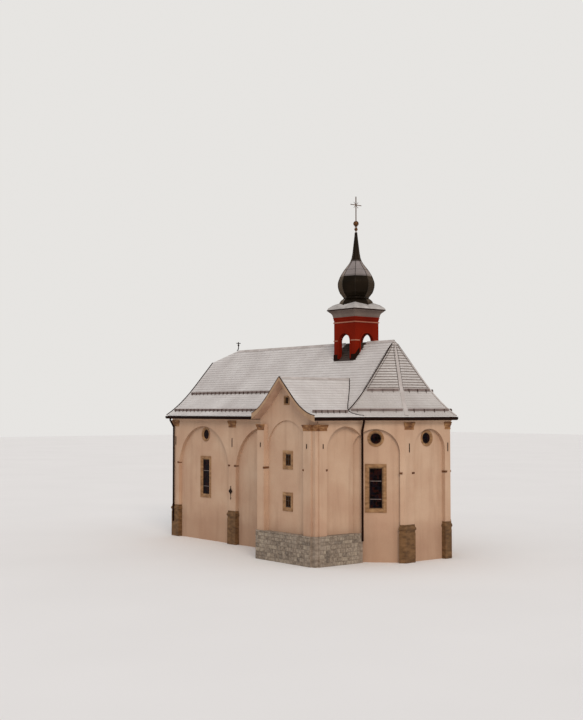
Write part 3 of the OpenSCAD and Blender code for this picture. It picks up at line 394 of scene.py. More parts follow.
# %% Finishes for the solids
FINISHES = (
    (red_limewash, "belfry_walls"), (faded_limewash, "belfry_mouldings"),
    (grey_stucco, "belfry_cornice"),
    (pedestal_stone, "ground_floors pilaster_pedestals"),
    (capital_stone, "pilaster_capitals"), (impost_stone, "impost_blocks"),
    (window_stone, "window_surrounds oculus_surrounds sacristy_window_surrounds door_surround"),
    (lime_mortar, "sacristy_footing"),
    (snowy_shingles, "nave_roof_south nave_roof_north half_hip apse_roof sacristy_roof"),
    (snowy_caps, "roof_caps"), (snowy_sheet, "belfry_skirt_roof"),
    (brown_paint, "gutters downpipes belfry_flashing"),
    (forged_iron, "wall_anchors iron_bracket ridge_finial"),
    (guard_iron, "snow_guards"), (brown_bronze, "spire_balls spire_cross"),
    (dome_sheet, "onion_dome"),
    (crown_glass, "window_glass oculus_glass"), (room_shade_glass, "sacristy_window_glass"),
    (oak_boards, "sacristy_upper_floor west_door"),
    (verge_timber, "verge_boards"), (soffit_timber, "verge_soffit"))
FINISH = {name: material for material, names in FINISHES for name in names.split()}
for name, solid in nodes.items():
    solid.data.materials.clear()
    solid.data.materials.append(FINISH.get(name, peach_limewash))
print("left in peach limewash:", sorted(set(nodes) - set(FINISH)))

# %% [markdown]
# ## Where things are
# The chapel is measured from the crossing of its two ridges and from the ground at the sacristy.
# The frame's zero is elsewhere, so each new piece is built round the crossing and then shifted
# once. The roofs are straight near the ridge and bend outwards below, as sprocketed rafters do.

# %% Sizes from the plan
SHIFT = Vector((5.1075, 1.2225, 1.4))

# Nave and apse: half widths, end walls and the corner between them
HALF_W, END_HALF = 3.76, 1.66
EAST_X, WEST_X, CORNER_X = 4.05, -14.42, 1.95

# Sacristy: south face, west face, east face and the east corner of its gable
SAC_Y, SAC_WEST, SAC_EAST, SAC_CORNER = -6.35, -2.2, 2.5, 2.45

# Roofs: the apex of the apse, the foot of the slopes and the two ridges
APEX_X, MAIN_HALF, SAC_HALF, FOOT_Z = 1.57, 4.1, 2.84, 6.05
RIDGE_Z, SAC_RIDGE_Z = 10.1, 8.03
MAIN_FALL, SAC_FALL = 1.13, 0.97
HIP_X, HIP_RUN = -12.7, 1.97
HIP_FALL = 0.72/HIP_RUN
VERGE_X, VERGE_Y = -14.67, -6.61

# Gutters, how deep the panes sit, and the belfry
DRIP, GUTTER_Z, GUTTER_R = 0.34, 5.915, 0.085
RECESS, SAC_RECESS, PANE = 0.21, 0.32, 0.055
BELFRY_X, BELFRY_TOP = -1.49, 11.5


def bell(half, top, slope, bend, foot_at):
    """Points (distance from the ridge, height) down one slope."""
    curve = (FOOT_Z - top + slope*foot_at)/(foot_at - bend)**2
    steps = [0, bend] + [bend + (half - bend)*i/6 for i in range(1, 7)]
    return [(d, top - slope*d + (curve*(d - bend)**2 if d > bend else 0)) for d in steps]


MAIN = bell(MAIN_HALF, RIDGE_Z, MAIN_FALL, 2.0, MAIN_HALF)
SAC_SLOPE_W = bell(2.35, SAC_RIDGE_Z, SAC_FALL, 1.05, SAC_HALF)
SAC_SLOPE_E = bell(SAC_HALF, SAC_RIDGE_Z, SAC_FALL, 1.05, SAC_HALF)


def between(points, value, known, wanted):
    """Reads one column of a table at a value of the other."""
    for p, q in zip(points, points[1:]):
        low, high = sorted((p[known], q[known]))
        if low <= value <= high and high > low:
            return p[wanted] + (q[wanted] - p[wanted])*(value - p[known])/(q[known] - p[known])
    nearest = min(points[0], points[-1], key=lambda p: abs(p[known] - value))
    return nearest[wanted]


def main_height(d):
    """Height of the main roof at a distance from its ridge."""
    return between(MAIN, d, 0, 1)


EXPOSURE = 0.195    # visible height of a course


def courses(points):
    """Distances from the ridge that cut a slope into courses of about the exposure."""
    walked = [0.0]
    for p, q in zip(points, points[1:]):
        walked.append(walked[-1] + math.dist(p, q))
    count = round(walked[-1]/EXPOSURE)
    table = list(zip(walked, [p[0] for p in points]))
    return [between(table, walked[-1]*i/count, 0, 1) for i in range(count + 1)]


print("main slope in", len(courses(MAIN)) - 1, "courses")

# %% [markdown]
# ## From mesh to piece
# One function turns a finished bmesh into an object: it points the faces outwards, shifts the
# mesh to its place in the frame, gives it a finish and lets it ride on the building.

# %% Piece helper
def piece(name, bm, material):
    bmesh.ops.recalc_face_normals(bm, faces=bm.faces)
    bmesh.ops.translate(bm, vec=SHIFT, verts=bm.verts)
    mesh = bpy.data.meshes.new(name)
    bm.to_mesh(mesh)
    bm.free()
    mesh.materials.append(material)
    made = bpy.data.objects.new(name, mesh)
    bpy.context.scene.collection.objects.link(made)
    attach(made, "root")
    print(f"{name}: {len(mesh.polygons)} faces")

# %% [markdown]
# ## Shingles
# A course is a strip between two level lines on the roof. It starts as a flat grid with one cell
# for each shingle. Its corners are set on the two lines and held inside hips, valleys and verges,
# and each cell is drawn in by a hair to leave the joint. Then every cell is raised on its own:
# 4 mm at the head and 20 mm at the butt, so each course laps the one below it.

# %% One course of shingles
SHINGLE = 0.16         # width of a shingle
NARROWEST = 0.02       # width of a shingle at the end of a course
JOINT = 0.0025         # half the gap between two
SLIVER = 0.0015        # a face smaller than this, in square metres, is left out
HEAD_RISE, BUTT_RISE = 0.004, 0.02
# Inside the belfry the roof is bare wood in painted shade.
BELFRY_REACH = 0.9     # the roof inside the belfry is bare
rng = random.Random(7)


def lay_course(bm, layer, head, butt, along, shift, cover):
    """head and butt are the (left, right) ends of the upper and lower line, cover is (bare and shaded
    edge, snow shade).
    """
    reach = [(a.dot(along), b.dot(along)) for a, b in (head, butt)]
    low, high = min(r[0] for r in reach), max(r[1] for r in reach)
    first = math.ceil((low + NARROWEST - shift)/SHINGLE)
    last = math.floor((high - NARROWEST - shift)/SHINGLE)
    cuts = [low] + [k*SHINGLE + shift for k in range(first, last + 1)] + [high]
    count = len(cuts) - 1
    grid = bmesh.ops.create_grid(bm, x_segments=count, y_segments=1, size=1)["verts"]
    fall = (butt[0] + butt[1] - head[0] - head[1])/2
    fall -= along*fall.dot(along)
    up = along.cross(fall).normalized()
    if up.z < 0:
        up.negate()
    for v in grid:
        at, line = (0, head) if v.co.y > 0 else (1, butt)
        a, b = reach[at]
        t = min(max(cuts[round((v.co.x + 1)/2*count)], a), b)
        v.co = line[0] + (line[1] - line[0])*((t - a)/max(b - a, 1e-6))
    faces = list(dict.fromkeys(f for v in grid for f in v.link_faces))
    slivers = [f for f in faces if f.calc_area() < SLIVER]
    faces = [f for f in faces if f not in slivers]
    bmesh.ops.delete(bm, geom=slivers, context="FACES")
    if not faces:
        return
    rims = bmesh.ops.inset_individual(bm, faces=faces, thickness=JOINT)["faces"]
    bmesh.ops.delete(bm, geom=[f for f in rims if f not in faces], context="FACES")
    tops = bmesh.ops.extrude_discrete_faces(bm, faces=faces)["faces"]
    for face in tops:
        tint = rng.random()
        for v in face.verts:
            share = min(max((v.co - head[0]).dot(fall)/fall.length_squared, 0), 1)
            inside = abs(v.co.x - BELFRY_X) < BELFRY_REACH and abs(v.co.y) < BELFRY_REACH
            bare = 2 if inside else cover[0]
            linked = (e.other_vert(v) for e in v.link_edges)
            foot = next(w for w in linked if w not in face.verts[:])
            v[layer] = foot[layer] = (tint, share, bare, cover[1])
            v.co += up*(HEAD_RISE + (BUTT_RISE - HEAD_RISE)*share)


ABOVE_GUARD = 0.58    # share of the courses above the upper snow guard


def lay_slope(name, lines, along, covers):
    """lines are the (left, right) ends of each level line, from the top down."""
    bm = bmesh.new()
    layer = bm.verts.layers.float_color.new("weather")
    for i, (head, butt) in enumerate(zip(lines, lines[1:])):
        if head and butt:
            shift = SHINGLE*(0.5*(i % 2) + 0.1*rng.random())
            cover = covers[0] if i/len(lines) < ABOVE_GUARD else covers[1]
            lay_course(bm, layer, head, butt, Vector(along), shift, cover)
    piece(name, bm, snowy_shingles)

# %% [markdown]
# ## Level lines of each slope
# The nave slopes end at the half hip in the west and at the first hip of the apse in the east.
# Valleys are where two roofs have the same height, so they are read from the two profiles.

# %% Nave slopes
RING = [Vector(corner) for corner in ((2.0908, -4.1), (4.39, -1.8008), (4.39, 1.8008), (2.0908, 4.1))]
APEX = Vector((APEX_X, 0))


def on_hip(corner, share):
    """Plan point on a hip of the apse, a share of the way from the apex to its corner."""
    return APEX + (corner - APEX)*share


def level(p, q, z):
    """The two ends of a level line, from two plan points and a height."""
    return Vector((*p, z)), Vector((*q, z))


def valley_x(z, profile):
    """Half the width of the sacristy roof at a height."""
    return between(profile, z, 1, 0) if z < SAC_RIDGE_Z else 0


def valley_y(side, e, z):
    """Where a level line of the sacristy roof, at e from its ridge, meets the main roof."""
    share = between(MAIN, z, 1, 0)/MAIN_HALF
    p, q = on_hip(RING[0], share), on_hip(RING[1], share)
    if side < 0 or e < p.x:
        return p.y
    return p.y + (q.y - p.y)*(e - p.x)/(q.x - p.x)


main_levels = courses(MAIN)
north, south_west, south_east = [], [], []
for d in main_levels:
    z = main_height(d)
    west_end = max(VERGE_X, HIP_X - d*MAIN_FALL/HIP_FALL)
    hip = on_hip(RING[0], d/MAIN_HALF).x
    north.append(level((west_end, d), (hip, d), z))
    south_west.append(level((west_end, -d), (-valley_x(z, SAC_SLOPE_W), -d), z))
    valley = valley_x(z, SAC_SLOPE_E)
    south_east.append(level((valley, -d), (hip, -d), z) if valley < hip else None)

# (How bare and shaded the edges are, how much painted shade darkens the snow),
# above and below the upper snow guard
NAVE_SNOW = (0.1, 0), (0.03, 0)
WING_SNOW = (0.08, 0), (0.03, 0)
APSE_SNOW = (0.8, 0.25), (0.02, 0.28)

lay_slope("shingles_nave_north", north, (1, 0, 0), NAVE_SNOW)
lay_slope("shingles_nave_south", south_west, (1, 0, 0), NAVE_SNOW)
lay_slope("shingles_nave_south_east", south_east, (1, 0, 0), NAVE_SNOW)

# %% Half hip and apse slopes
hip_lines = []
for i in range(11):
    run = HIP_RUN*i/10
    z = RIDGE_Z - HIP_FALL*run
    half = HIP_FALL*run/MAIN_FALL
    hip_lines.append(level((HIP_X - run, -half), (HIP_X - run, half), z))
lay_slope("shingles_half_hip", hip_lines, (0, 1, 0), NAVE_SNOW)

for name, a, b in zip(("southeast", "east", "northeast"), RING, RING[1:]):
    lines = []
    for d in main_levels:
        z = main_height(d)
        p, q = on_hip(a, d/MAIN_HALF), on_hip(b, d/MAIN_HALF)
        valley = valley_x(z, SAC_SLOPE_E) if name == "southeast" else 0
        if p.x < valley < q.x:
            p = p + (q - p)*((valley - p.x)/(q.x - p.x))
        seen = valley < q.x or z > SAC_RIDGE_Z
        lines.append(level(p, q, z) if seen else None)
    lay_slope("shingles_apse_" + name, lines, (b - a).normalized().to_3d(), APSE_SNOW)

# %% Sacristy slopes
for name, side, profile in (("west", -1, SAC_SLOPE_W), ("east", 1, SAC_SLOPE_E)):
    lines = []
    for e in courses(profile):
        z = between(profile, e, 0, 1)
        lines.append(level((side*e, VERGE_Y), (side*e, valley_y(side, e, z)), z))
    lay_slope("shingles_sacristy_" + name, lines, (0, 1, 0), WING_SNOW)

# %% [markdown]
# ## Bars and tubes
# Most of the metalwork is a square bar from one point to another or a round tube along a line
# of points. A bar is a cube stretched by a matrix. A tube is a curve with a round bevel, turned
# into a mesh, because a curve keeps its corners mitred by itself. Things on a wall are placed by
# how far along it they are, how deep and how high.

# %% Bars and tubes
def bar(bm, a, b, width, thick, side=(0, 0, 1)):
    """Box from a to b. side is roughly the way its thickness goes."""
    a, b = Vector(a), Vector(b)
    x = (b - a).normalized()
    y = Vector(side).cross(x).normalized()
    z = x.cross(y)
    turn = Matrix((x, y, z)).transposed().to_4x4()
    size = Matrix.Diagonal(((b - a).length, width, thick, 1))
    bmesh.ops.create_cube(bm, size=1, matrix=Matrix.Translation((a + b)/2) @ turn @ size)


def tubes(bm, paths, radius, closed=False):
    """Adds round tubes along the paths to a bmesh."""
    line = bpy.data.curves.new("line", "CURVE")
    line.dimensions = "3D"
    line.bevel_depth = radius
    line.bevel_resolution = 1
    line.use_fill_caps = True
    for path in paths:
        spline = line.splines.new("POLY")
        spline.points.add(len(path) - 1)
        for point, place in zip(spline.points, path):
            point.co = (*place, 1)
        spline.use_cyclic_u = closed
    holder = bpy.data.objects.new("line", line)
    mesh = bpy.data.meshes.new_from_object(holder)
    bm.from_mesh(mesh)
    bpy.data.objects.remove(holder)
    bpy.data.meshes.remove(mesh)


def soften(bm, offset, segments):
    """Rounds every edge."""
    bmesh.ops.bevel(bm, geom=list(bm.edges), offset=offset, segments=segments, profile=0.5,
                    affect="EDGES", material=-1)

# %% Places on the walls
SLANT_X, SLANT_Y = (CORNER_X + EAST_X)/2, (HALF_W + END_HALF)/2
FACES = {
    "south": ((0, -HALF_W), 0), "southeast": ((SLANT_X, -SLANT_Y), 45),
    "east": ((EAST_X, 0), 90), "northeast": ((SLANT_X, SLANT_Y), 135),
    "north": ((0, HALF_W), 180), "west": ((WEST_X, 0), 270), "sacristy": ((0, SAC_Y), 0)}


def on_face(face, u, v, z):
    """Place on a wall: u runs along it, v into it, z is the height."""
    (x, y), degrees = FACES[face]
    turn = Matrix.Rotation(math.radians(degrees), 4, "Z")
    return Matrix.Translation((x, y, 0)) @ turn @ Vector((u, v, z))


def into(face):
    """Direction into a wall."""
    return on_face(face, 0, 1, 0) - on_face(face, 0, 0, 0)


def upright(bm, face, u, v, low, high, section):
    """Upright bar on a wall. section is its width and thickness."""
    bar(bm, on_face(face, u, v, low), on_face(face, u, v, high), *section, into(face))


def rail(bm, face, left, right, v, z, section):
    """Level bar on a wall."""
    bar(bm, on_face(face, left, v, z), on_face(face, right, v, z), *section, into(face))


def hoop(face, u, v, z, radius, count):
    """Points of a circle that lies against a wall."""
    turns = (math.tau*k/count for k in range(count))
    return [on_face(face, u + radius*math.cos(a), v, z + radius*math.sin(a)) for a in turns]


print("walls:", *FACES)

# %% [markdown]
# ## Windows
# The tall windows hold leaded glass in a thin painted frame, with two iron saddle bars across
# that carry the leads. A round window has a ring and two by two lead bars, and the small windows
# of the sacristy are oak casements with a post and a cross bar. Bars and leads are real strips in
# front of the pane and cast the thin shadows that make a window look deep.

# %% Tall windows
BAYS = [("south", -11.095), ("south", -5.095), ("southeast", 0), ("northeast", 0),
        ("north", 11.095), ("north", 5.095), ("north", 0.235)]
GLASS = RECESS + PANE    # depth of the panes in the walls
FRAME = GLASS - 0.016
LEAD = GLASS - 0.004
HALF_PANE, PANE_FOOT, PANE_HEAD = 0.3, 1.37, 3.35
QUARRY_ROWS = 13

frames, saddles, leads = bmesh.new(), bmesh.new(), bmesh.new()
for face, u in BAYS:
    left, right = u - HALF_PANE, u + HALF_PANE
    for x in (-0.312, 0.312):
        upright(frames, face, u + x, FRAME, 1.335, 3.385, (0.04, 0.03))
    for z in (1.357, 3.363):
        rail(frames, face, left, right, FRAME, z, (0.036, 0.028))
    for z in (1.80, 2.725):
        rail(saddles, face, left, right, FRAME, z, (0.036, 0.028))
    for x in (-HALF_PANE/2, 0, HALF_PANE/2):
        upright(leads, face, u + x, LEAD, PANE_FOOT, PANE_HEAD, (0.009, 0.01))
    for k in range(1, QUARRY_ROWS):
        z = PANE_FOOT + (PANE_HEAD - PANE_FOOT)*k/QUARRY_ROWS
        rail(leads, face, left, right, LEAD, z, (0.009, 0.009))
piece("window_frames", frames, frame_iron)
piece("saddle_bars", saddles, saddle_iron)

# %% Round windows
ROUND = [(face, u, 4.9) for face, u in BAYS] + [("east", 0.115, 4.9), ("west", 0, 4.45)]
RING_R, LEADS_R = 0.262, 0.255
oculi = bmesh.new()
for face, u, z in ROUND:
    tubes(oculi, [hoop(face, u, GLASS - 0.014, z, RING_R, 32)], 0.016, closed=True)
    for x in (-0.09, 0.09):
        h = math.sqrt(LEADS_R**2 - x**2)
        upright(leads, face, u + x, GLASS - 0.006, z - h, z + h, (0.012, 0.01))
        rail(leads, face, u - h, u + h, GLASS - 0.006, z + x, (0.012, 0.009))
piece("oculus_frames", oculi, frame_iron)
piece("window_leads", leads, lead_came)

# %% Sacristy windows
CASEMENT = SAC_RECESS + PANE - 0.016    # depth of the casements in the wall
casements = bmesh.new()
for z in (1.67, 3.80):
    for x in (-0.195, 0.195):
        upright(casements, "sacristy", x, CASEMENT, z - 0.28, z + 0.28, (0.034, 0.03))
    for y in (-0.263, 0.263):
        rail(casements, "sacristy", -0.18, 0.18, CASEMENT, z + y, (0.034, 0.028))
    upright(casements, "sacristy", 0, CASEMENT, z - 0.25, z + 0.25, (0.024, 0.026))
    rail(casements, "sacristy", -0.18, 0.18, CASEMENT, z + 0.05, (0.02, 0.024))

# Two bars stand in the slot of the gable
for x in (-0.05, 0.05):
    upright(casements, "sacristy", x, 0.28, 6.70, 7.0, (0.02, 0.02))
piece("sacristy_casements", casements, casement_oak)

# %% [markdown]
# ## Gutter straps and pipe rings
# A half-round gutter hangs in steel straps about 0.8 m apart, and a downpipe is held off the
# wall by rings. Both are a flat strip spun about the axis of the gutter or pipe.

# %% Straps, and many of them
def strap(radius, width, thick, degrees):
    """Flat strip bent round the Y axis, starting on +X and turning down."""
    bm = bmesh.new()
    end = Matrix.Translation((radius, 0, 0)) @ Matrix.Diagonal((thick, width, 1, 1))
    bmesh.ops.create_grid(bm, x_segments=1, y_segments=1, size=0.5, matrix=end)
    section = list(bm.faces) + list(bm.edges) + list(bm.verts)
    bmesh.ops.spin(bm, geom=section, cent=(0, 0, 0), axis=(0, 1, 0),
                   angle=math.radians(degrees), steps=10, use_merge=degrees == 360)
    if degrees == 360:
        bmesh.ops.remove_doubles(bm, verts=bm.verts, dist=1e-5)
    mesh = bpy.data.meshes.new("strap")
    bm.to_mesh(mesh)
    bm.free()
    return mesh


def copies(mesh, places):
    """A bmesh with the mesh at each of the places."""
    bm = bmesh.new()
    for place in places:
        before = len(bm.verts)
        bm.from_mesh(mesh)
        bm.verts.ensure_lookup_table()
        bmesh.ops.transform(bm, matrix=place, verts=bm.verts[before:])
    return bm


def facing(at, outward):
    """Matrix whose X axis looks out from the wall and whose Z axis is up."""
    return Matrix.Translation(at) @ Matrix.Rotation(math.atan2(outward[1], outward[0]), 4, "Z")

# %% Gutter straps
STRAP_SPACING = 0.8
GUTTER_RUNS = [
    ((VERGE_X + 0.2, -HALF_W - DRIP), (SAC_WEST - 0.25, -HALF_W - DRIP), (0, -1)),
    ((SAC_EAST + DRIP, VERGE_Y + 0.1), (SAC_EAST + DRIP, -3.55), (1, 0)),
    ((3.05, -3.14), (4.25, -1.94), (1, -1)),
    ((4.39, -1.6), (4.39, 1.6), (1, 0)),
    ((4.25, 1.94), (2.23, 3.96), (1, 1)),
    ((1.9, HALF_W + DRIP), (VERGE_X + 0.2, HALF_W + DRIP), (0, 1))]
places = []
for a, b, outward in GUTTER_RUNS:
    a, b = Vector((*a, GUTTER_Z)), Vector((*b, GUTTER_Z))
    count = max(1, round((b - a).length/STRAP_SPACING))
    places += [facing(a + (b - a)*((k + 0.5)/count), outward) for k in range(count)]
straps = copies(strap(GUTTER_R + 0.003, 0.03, 0.006, 180), places)
for place in places:
    bar(straps, place @ Vector((-GUTTER_R, 0, 0.07)), place @ Vector((GUTTER_R, 0, 0.07)), 0.03, 0.005)
piece("gutter_straps", straps, brown_paint)

# %% Pipe rings
OFF_WALL = 0.081    # from a wall to the middle of a pipe
PIPES = (("south", WEST_X + 0.19, -0.5), ("north", -WEST_X - 0.19, -0.5), ("north", 0.33 - CORNER_X, -0.9))
spots = [(on_face(face, u, -OFF_WALL, 0), -into(face), foot) for face, u, foot in PIPES]

# The fourth pipe stands in the corner between the sacristy and the slanting wall
inner = Vector((SAC_EAST, SAC_EAST - CORNER_X - HALF_W, 0))
halfway = math.radians(67.5)
outward = Vector((math.sin(halfway), -math.cos(halfway), 0))
spots.append((inner + outward*0.1134, outward, -0.3))

FIRST_RING, RING_SPACING, LAST_RING = 0.6, 1.55, 5.3
places = []
for spot, outward, foot in spots:
    z = foot + FIRST_RING
    while z < LAST_RING:
        places.append(facing((spot.x, spot.y, z), outward) @ Matrix.Rotation(math.pi/2, 4, "X"))
        z += RING_SPACING
rings = copies(strap(0.059, 0.03, 0.006, 360), places)
for place in places:
    bar(rings, place @ Vector((-0.05, 0, 0)), place @ Vector((-0.085, 0, 0)), 0.02, 0.02)
piece("pipe_rings", rings, brown_paint)

# %% [markdown]
# ## Seams of the dome
# The onion is eight curved gores of sheet metal. Where two gores meet, the sheets are rolled
# over a wooden batten, and low seams join the sheets of each gore. The rolls follow the dome's
# own outline at each corner of the eight-sided plan.

# %% Dome rolls and seams
ONION = [(0.6, 0.985), (0.7, 0.97), (0.8, 0.955), (0.87, 0.91), (0.945, 0.85), (1, 0.785),
         (1.055, 0.71), (1.105, 0.688), (1.165, 0.73), (1.22, 0.776), (1.28, 0.82), (1.335, 0.868),
         (1.39, 0.905), (1.45, 0.93), (1.56, 0.972), (1.67, 1.002), (1.79, 1.016), (1.9, 1.018),
         (2, 1.003), (2.13, 0.958), (2.29, 0.895), (2.48, 0.79), (2.67, 0.663), (2.85, 0.522),
         (3, 0.404), (3.15, 0.314), (3.32, 0.247), (3.6, 0.193), (3.96, 0.15), (4.3, 0.11),
         (4.61, 0.075), (4.79, 0.06)]


def dome_point(h, r, k):
    a = math.tau*k/8
    return Vector((BELFRY_X + r*math.cos(a), r*math.sin(a), BELFRY_TOP + h))


def above_pent(h, k):
    """The pent roof under the dome hides the foot of each roll."""
    return h > (0.66 if k % 2 == 0 else 0.82)


WAIST = 1.105    # the seam here is a thick roll
rolls = bmesh.new()
tubes(rolls, [[dome_point(h, r, k) for h, r in ONION if above_pent(h, k)] for k in range(8)], 0.014)
for h in (WAIST, 1.45, 2.0, 2.67, 3.32, 3.96):
    seam = [dome_point(h, dict(ONION)[h] + 0.002, k) for k in range(8)]
    tubes(rolls, [seam], 0.02 if h == WAIST else 0.006, closed=True)
piece("dome_seams", rolls, dome_roll)

# %% [markdown]
# ## Flashings
# Dark strips of sheet metal cover the places where water would get in: along the verges, in the
# valleys between two roofs and beside the hip caps. They draw the thin dark lines round each
# pale slope.

# %% Verges
flashing = bmesh.new()

# The sacristy's verges have one strip on top and one down the front
for side, profile, wide, tall in ((-1, SAC_SLOPE_W, 0.1, 0.12), (1, SAC_SLOPE_E, 0.045, 0.06)):
    strips = (wide/2 - 0.02, 0.04, wide, 0.03), (-0.008, 0.055 - tall/2, 0.016, tall)
    for p, q in zip(profile, profile[1:]):
        for y, lift, width, thick in strips:
            a = (side*p[0], VERGE_Y + y, p[1] + lift)
            b = (side*q[0], VERGE_Y + y, q[1] + lift)
            bar(flashing, a, b, width, thick, (side, 0, 1))

# The west gable has one strip up each rake and one along the foot of the half hip
HIP_FOOT, HIP_FOOT_Z = 0.637, 9.41
x = VERGE_X + 0.03
for side in (-1, 1):
    rake = [(d, main_height(d)) for d in [HIP_FOOT] + [p[0] for p in MAIN if p[0] > 1]]
    for p, q in zip(rake, rake[1:]):
        a = (x, side*p[0], p[1] + 0.031)
        b = (x, side*q[0], q[1] + 0.031)
        bar(flashing, a, b, 0.1, 0.012, (0, side, 1))
bar(flashing, (x, -HIP_FOOT, HIP_FOOT_Z), (x, HIP_FOOT, HIP_FOOT_Z), 0.1, 0.012)
piece("verge_flashing", flashing, brown_paint)

# %% Valleys and hip edges
valleys = bmesh.new()
for side, profile in ((-1, SAC_SLOPE_W), (1, SAC_SLOPE_E)):
    path = []
    for e in [profile[-1][0]*k/14 for k in range(15)]:
        z = between(profile, e, 0, 1)
        path.append((side*e, valley_y(side, e, z), z + 0.012))
    tubes(valleys, [path], 0.03)


def down_hip(corner, shares, beside, lift):
    """Line down a hip of the apse, a little to one side and above the roof."""
    return [(*(on_hip(corner, s) + beside*min(0.12, 0.9*s)), main_height(MAIN_HALF*s) + lift)
            for s in shares]


# Thin edges beside each hip cap. Past the ring the eaves run on westward.
EAVES = [Vector((-5, RING[0].y))] + RING + [Vector((-5, RING[3].y))]
for k, corner in enumerate(RING):
    for neighbour in (EAVES[k], EAVES[k + 2]):
        shares = [0.06 + 0.54*i/10 for i in range(11)]
        beside = (neighbour - corner).normalized()
        tubes(valleys, [down_hip(corner, shares, beside, 0.022)], 0.011)

# A thicker one along the crest of the hips between nave and apse
for corner in (RING[0], RING[3]):
    shares = [0.05 + 0.95*i/16 for i in range(17)]
    tubes(valleys, [down_hip(corner, shares, Vector((0, 0)), 0.045)], 0.03)
piece("valley_and_hip_flashing", valleys, brown_paint)

# %% Drip of the roof under the dome
DRIP_HALF, DRIP_Z = 1.158, BELFRY_TOP + 0.405
drip = bmesh.new()
corners = [Vector((BELFRY_X + DRIP_HALF*x, DRIP_HALF*y, DRIP_Z))
           for x, y in ((1, 1), (-1, 1), (-1, -1), (1, -1))]
for p, q in zip(corners, corners[1:] + corners[:1]):
    bar(drip, p, q, 0.02, 0.045)
piece("pent_roof_drip", drip, brown_paint)

# %% [markdown]
# ## Boards for the guards' shade
# Behind the rails of each snow guard stands a thin board painted grey. It draws the grey band
# along each guard, the guard's shadow and bare roof, so it is in part a painted shadow. It reaches
# from the slope up to the upper rail and stops short of the hips.

# %% Boards behind the guards
WING_GUARD = 2.25    # from the ridge of the sacristy
LOWER_GUARD, UPPER_GUARD = 0.915, 0.612    # share of the way down the main slope
BEHIND, MIDDLE = 0.017, 0.065    # from a rail to its board, and from the slope up to its middle

guard_shade_boards = bmesh.new()
z = between(SAC_SLOPE_E, WING_GUARD, 0, 1)
runs = [((WING_GUARD, SAC_Y + 0.1), (WING_GUARD, -3.9), (-1, 0), z)]
for s, nave_end in ((LOWER_GUARD, -2.3), (UPPER_GUARD, -0.95)):
    y = s*MAIN_HALF
    z = main_height(y)
    ring = [on_hip(corner, s) for corner in RING]
    runs.append(((WEST_X + 0.1, -y), (nave_end, -y), (0, 1), z))
    runs.append(((WEST_X + 0.1, y), (ring[3].x - 0.2, y), (0, -1), z))
    for p, q in zip(ring, ring[1:]):
        gap = (q - p).normalized()*0.17
        runs.append((p + gap, q - gap, (APEX - (p + q)/2).normalized(), z))
for a, b, upslope, z in runs:
    offset = Vector((*upslope, 0))*BEHIND + Vector((0, 0, z + MIDDLE))
    bar(guard_shade_boards, Vector((*a, 0)) + offset, Vector((*b, 0)) + offset, 0.008, 0.22)
piece("guard_shade_boards", guard_shade_boards, guard_shade_paint)

# %% [markdown]
# ## Rubble footing
# The sacristy stands on field stones laid in rough courses. Each stone is a cube, squashed,
# bevelled and turned a little, and pushed into the mortar so that only its face stands out.

# %% Field stones
def stone_row(bm, face, start_u, end_u, z, height):
    """Stones of random length side by side along a wall."""
    turn = Matrix.Rotation(math.radians(FACES[face][1]), 4, "Z")
    u = start_u
    while u < end_u - 0.08:
        length = min(rng.uniform(0.16, 0.42), end_u - u)
        centre = Matrix.Translation(on_face(face, u + length/2, 0.01, z + height/2))
        size = Matrix.Diagonal((length - 0.02, 0.07, height - 0.018, 1))
        tilt = turn @ Matrix.Rotation(rng.uniform(-0.04, 0.04), 4, "Y")
        bmesh.ops.create_cube(bm, size=1, matrix=centre @ tilt @ size)
        u += length


FACES["footing_south"] = ((0, SAC_Y - 0.06), 0)
FACES["footing_east"] = ((SAC_EAST + 0.06, 0), 90)
FACES["footing_west"] = ((SAC_WEST - 0.06, 0), 270)
stones = bmesh.new()
FOOTING_TOP = 0.1
z = -GROUND
while z < FOOTING_TOP - 0.06:
    height = min(rng.uniform(0.14, 0.24), FOOTING_TOP - z)
    stone_row(stones, "footing_south", SAC_WEST - 0.05, SAC_CORNER - 0.2, z, height)
    stone_row(stones, "footing_east", SAC_Y + 0.3, -3.4, z, height)
    stone_row(stones, "footing_west", HALF_W + 0.02, -SAC_Y + 0.05, z, height)
    z += height
soften(stones, 0.02, 2)

# %% A tint for each stone
layer = stones.verts.layers.float_color.new("weather")
seen = set()
for v in stones.verts:
    if v in seen:
        continue
    queue, tint = [v], rng.random()
    while queue:
        w = queue.pop()
        if w not in seen:
            seen.add(w)
            w[layer] = (tint, tint, tint, 1)
            queue += [e.other_vert(w) for e in w.link_edges]
piece("footing_stones", stones, field_stone)

# %% [markdown]
# ## West door
# A pair of ledged doors: upright boards with a gap between them, a rail at top and bottom, long
# forged hinges and a ring to pull. The picture does not show them, so they are kept plain.

# %% Boards, hinges and ring
leaves, hinges = bmesh.new(), bmesh.new()
for side in (-1, 1):
    for k in range(6):
        upright(leaves, "west", side*(0.06 + k*0.107), 0.385, 0.17, 2.58, (0.102, 0.022))
    for z in (0.35, 2.38):
        rail(leaves, "west", side*0.02, side*0.63, 0.368, z, (0.14, 0.02))
        rail(hinges, "west", side*0.14, side*0.64, 0.355, z, (0.045, 0.008))
soften(leaves, 0.003, 1)

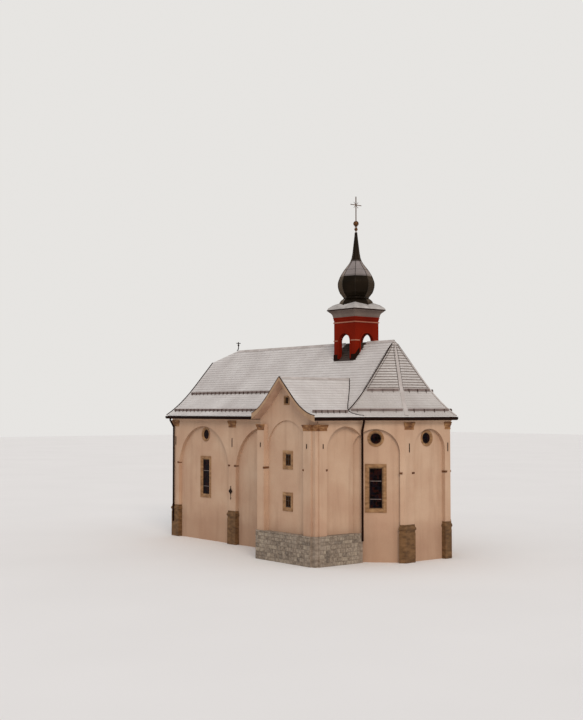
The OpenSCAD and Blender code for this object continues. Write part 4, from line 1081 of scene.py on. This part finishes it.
PULL_X, PULL_Z, PULL_R = 0.07, 1.2, 0.045
tubes(hinges, [hoop("west", PULL_X, 0.352, PULL_Z, PULL_R, 16)], 0.006, closed=True)
staple = PULL_Z + PULL_R
bar(hinges, on_face("west", PULL_X, 0.35, staple), on_face("west", PULL_X, 0.375, staple), 0.02, 0.02)
piece("door_boards", leaves, oak_boards)
piece("door_hinges", hinges, forged_iron)

# %% [markdown]
# ## Studio
# A plain pale floor, an even white sky and one broad warm lamp from between east and south-east,
# about as in the picture. Together they light a wall so that its colour looks as written. The sky
# that is seen or mirrored is neutral, and the one that lights the walls is a little bluer.

# %% Floor, sky and lamp
bm = bmesh.new()
bmesh.ops.create_grid(bm, x_segments=1, y_segments=1, size=260)
floor = bpy.data.objects.new("studio_floor", bpy.data.meshes.new("studio_floor"))
bm.to_mesh(floor.data)
bm.free()
bpy.context.scene.collection.objects.link(floor)
pale_floor, add, shader, place = start("pale_floor")
cloud = add("TexNoise", {"Vector": place, "Scale": each(10000), "Detail": 2})
tone = add("ValToRGB", {0: cloud}, stops=((0.3, "#e4e1dd"), (0.7, "#e7e4e0")))
wire(shader, {"Base Color": tone, "Roughness": 0.9})
floor.data.materials.append(pale_floor)

world = bpy.data.worlds.new("white_sky")
bpy.context.scene.world = world
world.use_nodes = True
add = functools.partial(add_node, world.node_tree)
direct = 0
for ray in ("Is Camera Ray", "Is Glossy Ray", "Is Transmission Ray"):
    ray = add("LightPath", {}, ray)
    direct = add("Math", {0: ray, 1: direct}, operation="MAXIMUM")
colour = add("Mix", {0: direct, 6: "#dfe2e8", 7: "#eceae7"}, 2, data_type="RGBA")
wire(world.node_tree.nodes["Background"], {"Color": colour, "Strength": 0.95})

sun = bpy.data.objects.new("lamp", bpy.data.lights.new("lamp", "SUN"))
bpy.context.scene.collection.objects.link(sun)
sun.data.energy = 1.5
sun.data.angle = math.radians(25)
sun.data.color = linear("#fff0e2")[:3]
sun.rotation_euler = Vector((-0.8, 0.46, -0.52)).to_track_quat("-Z", "Y").to_euler()

bpy.context.scene.view_settings.view_transform = "Standard"
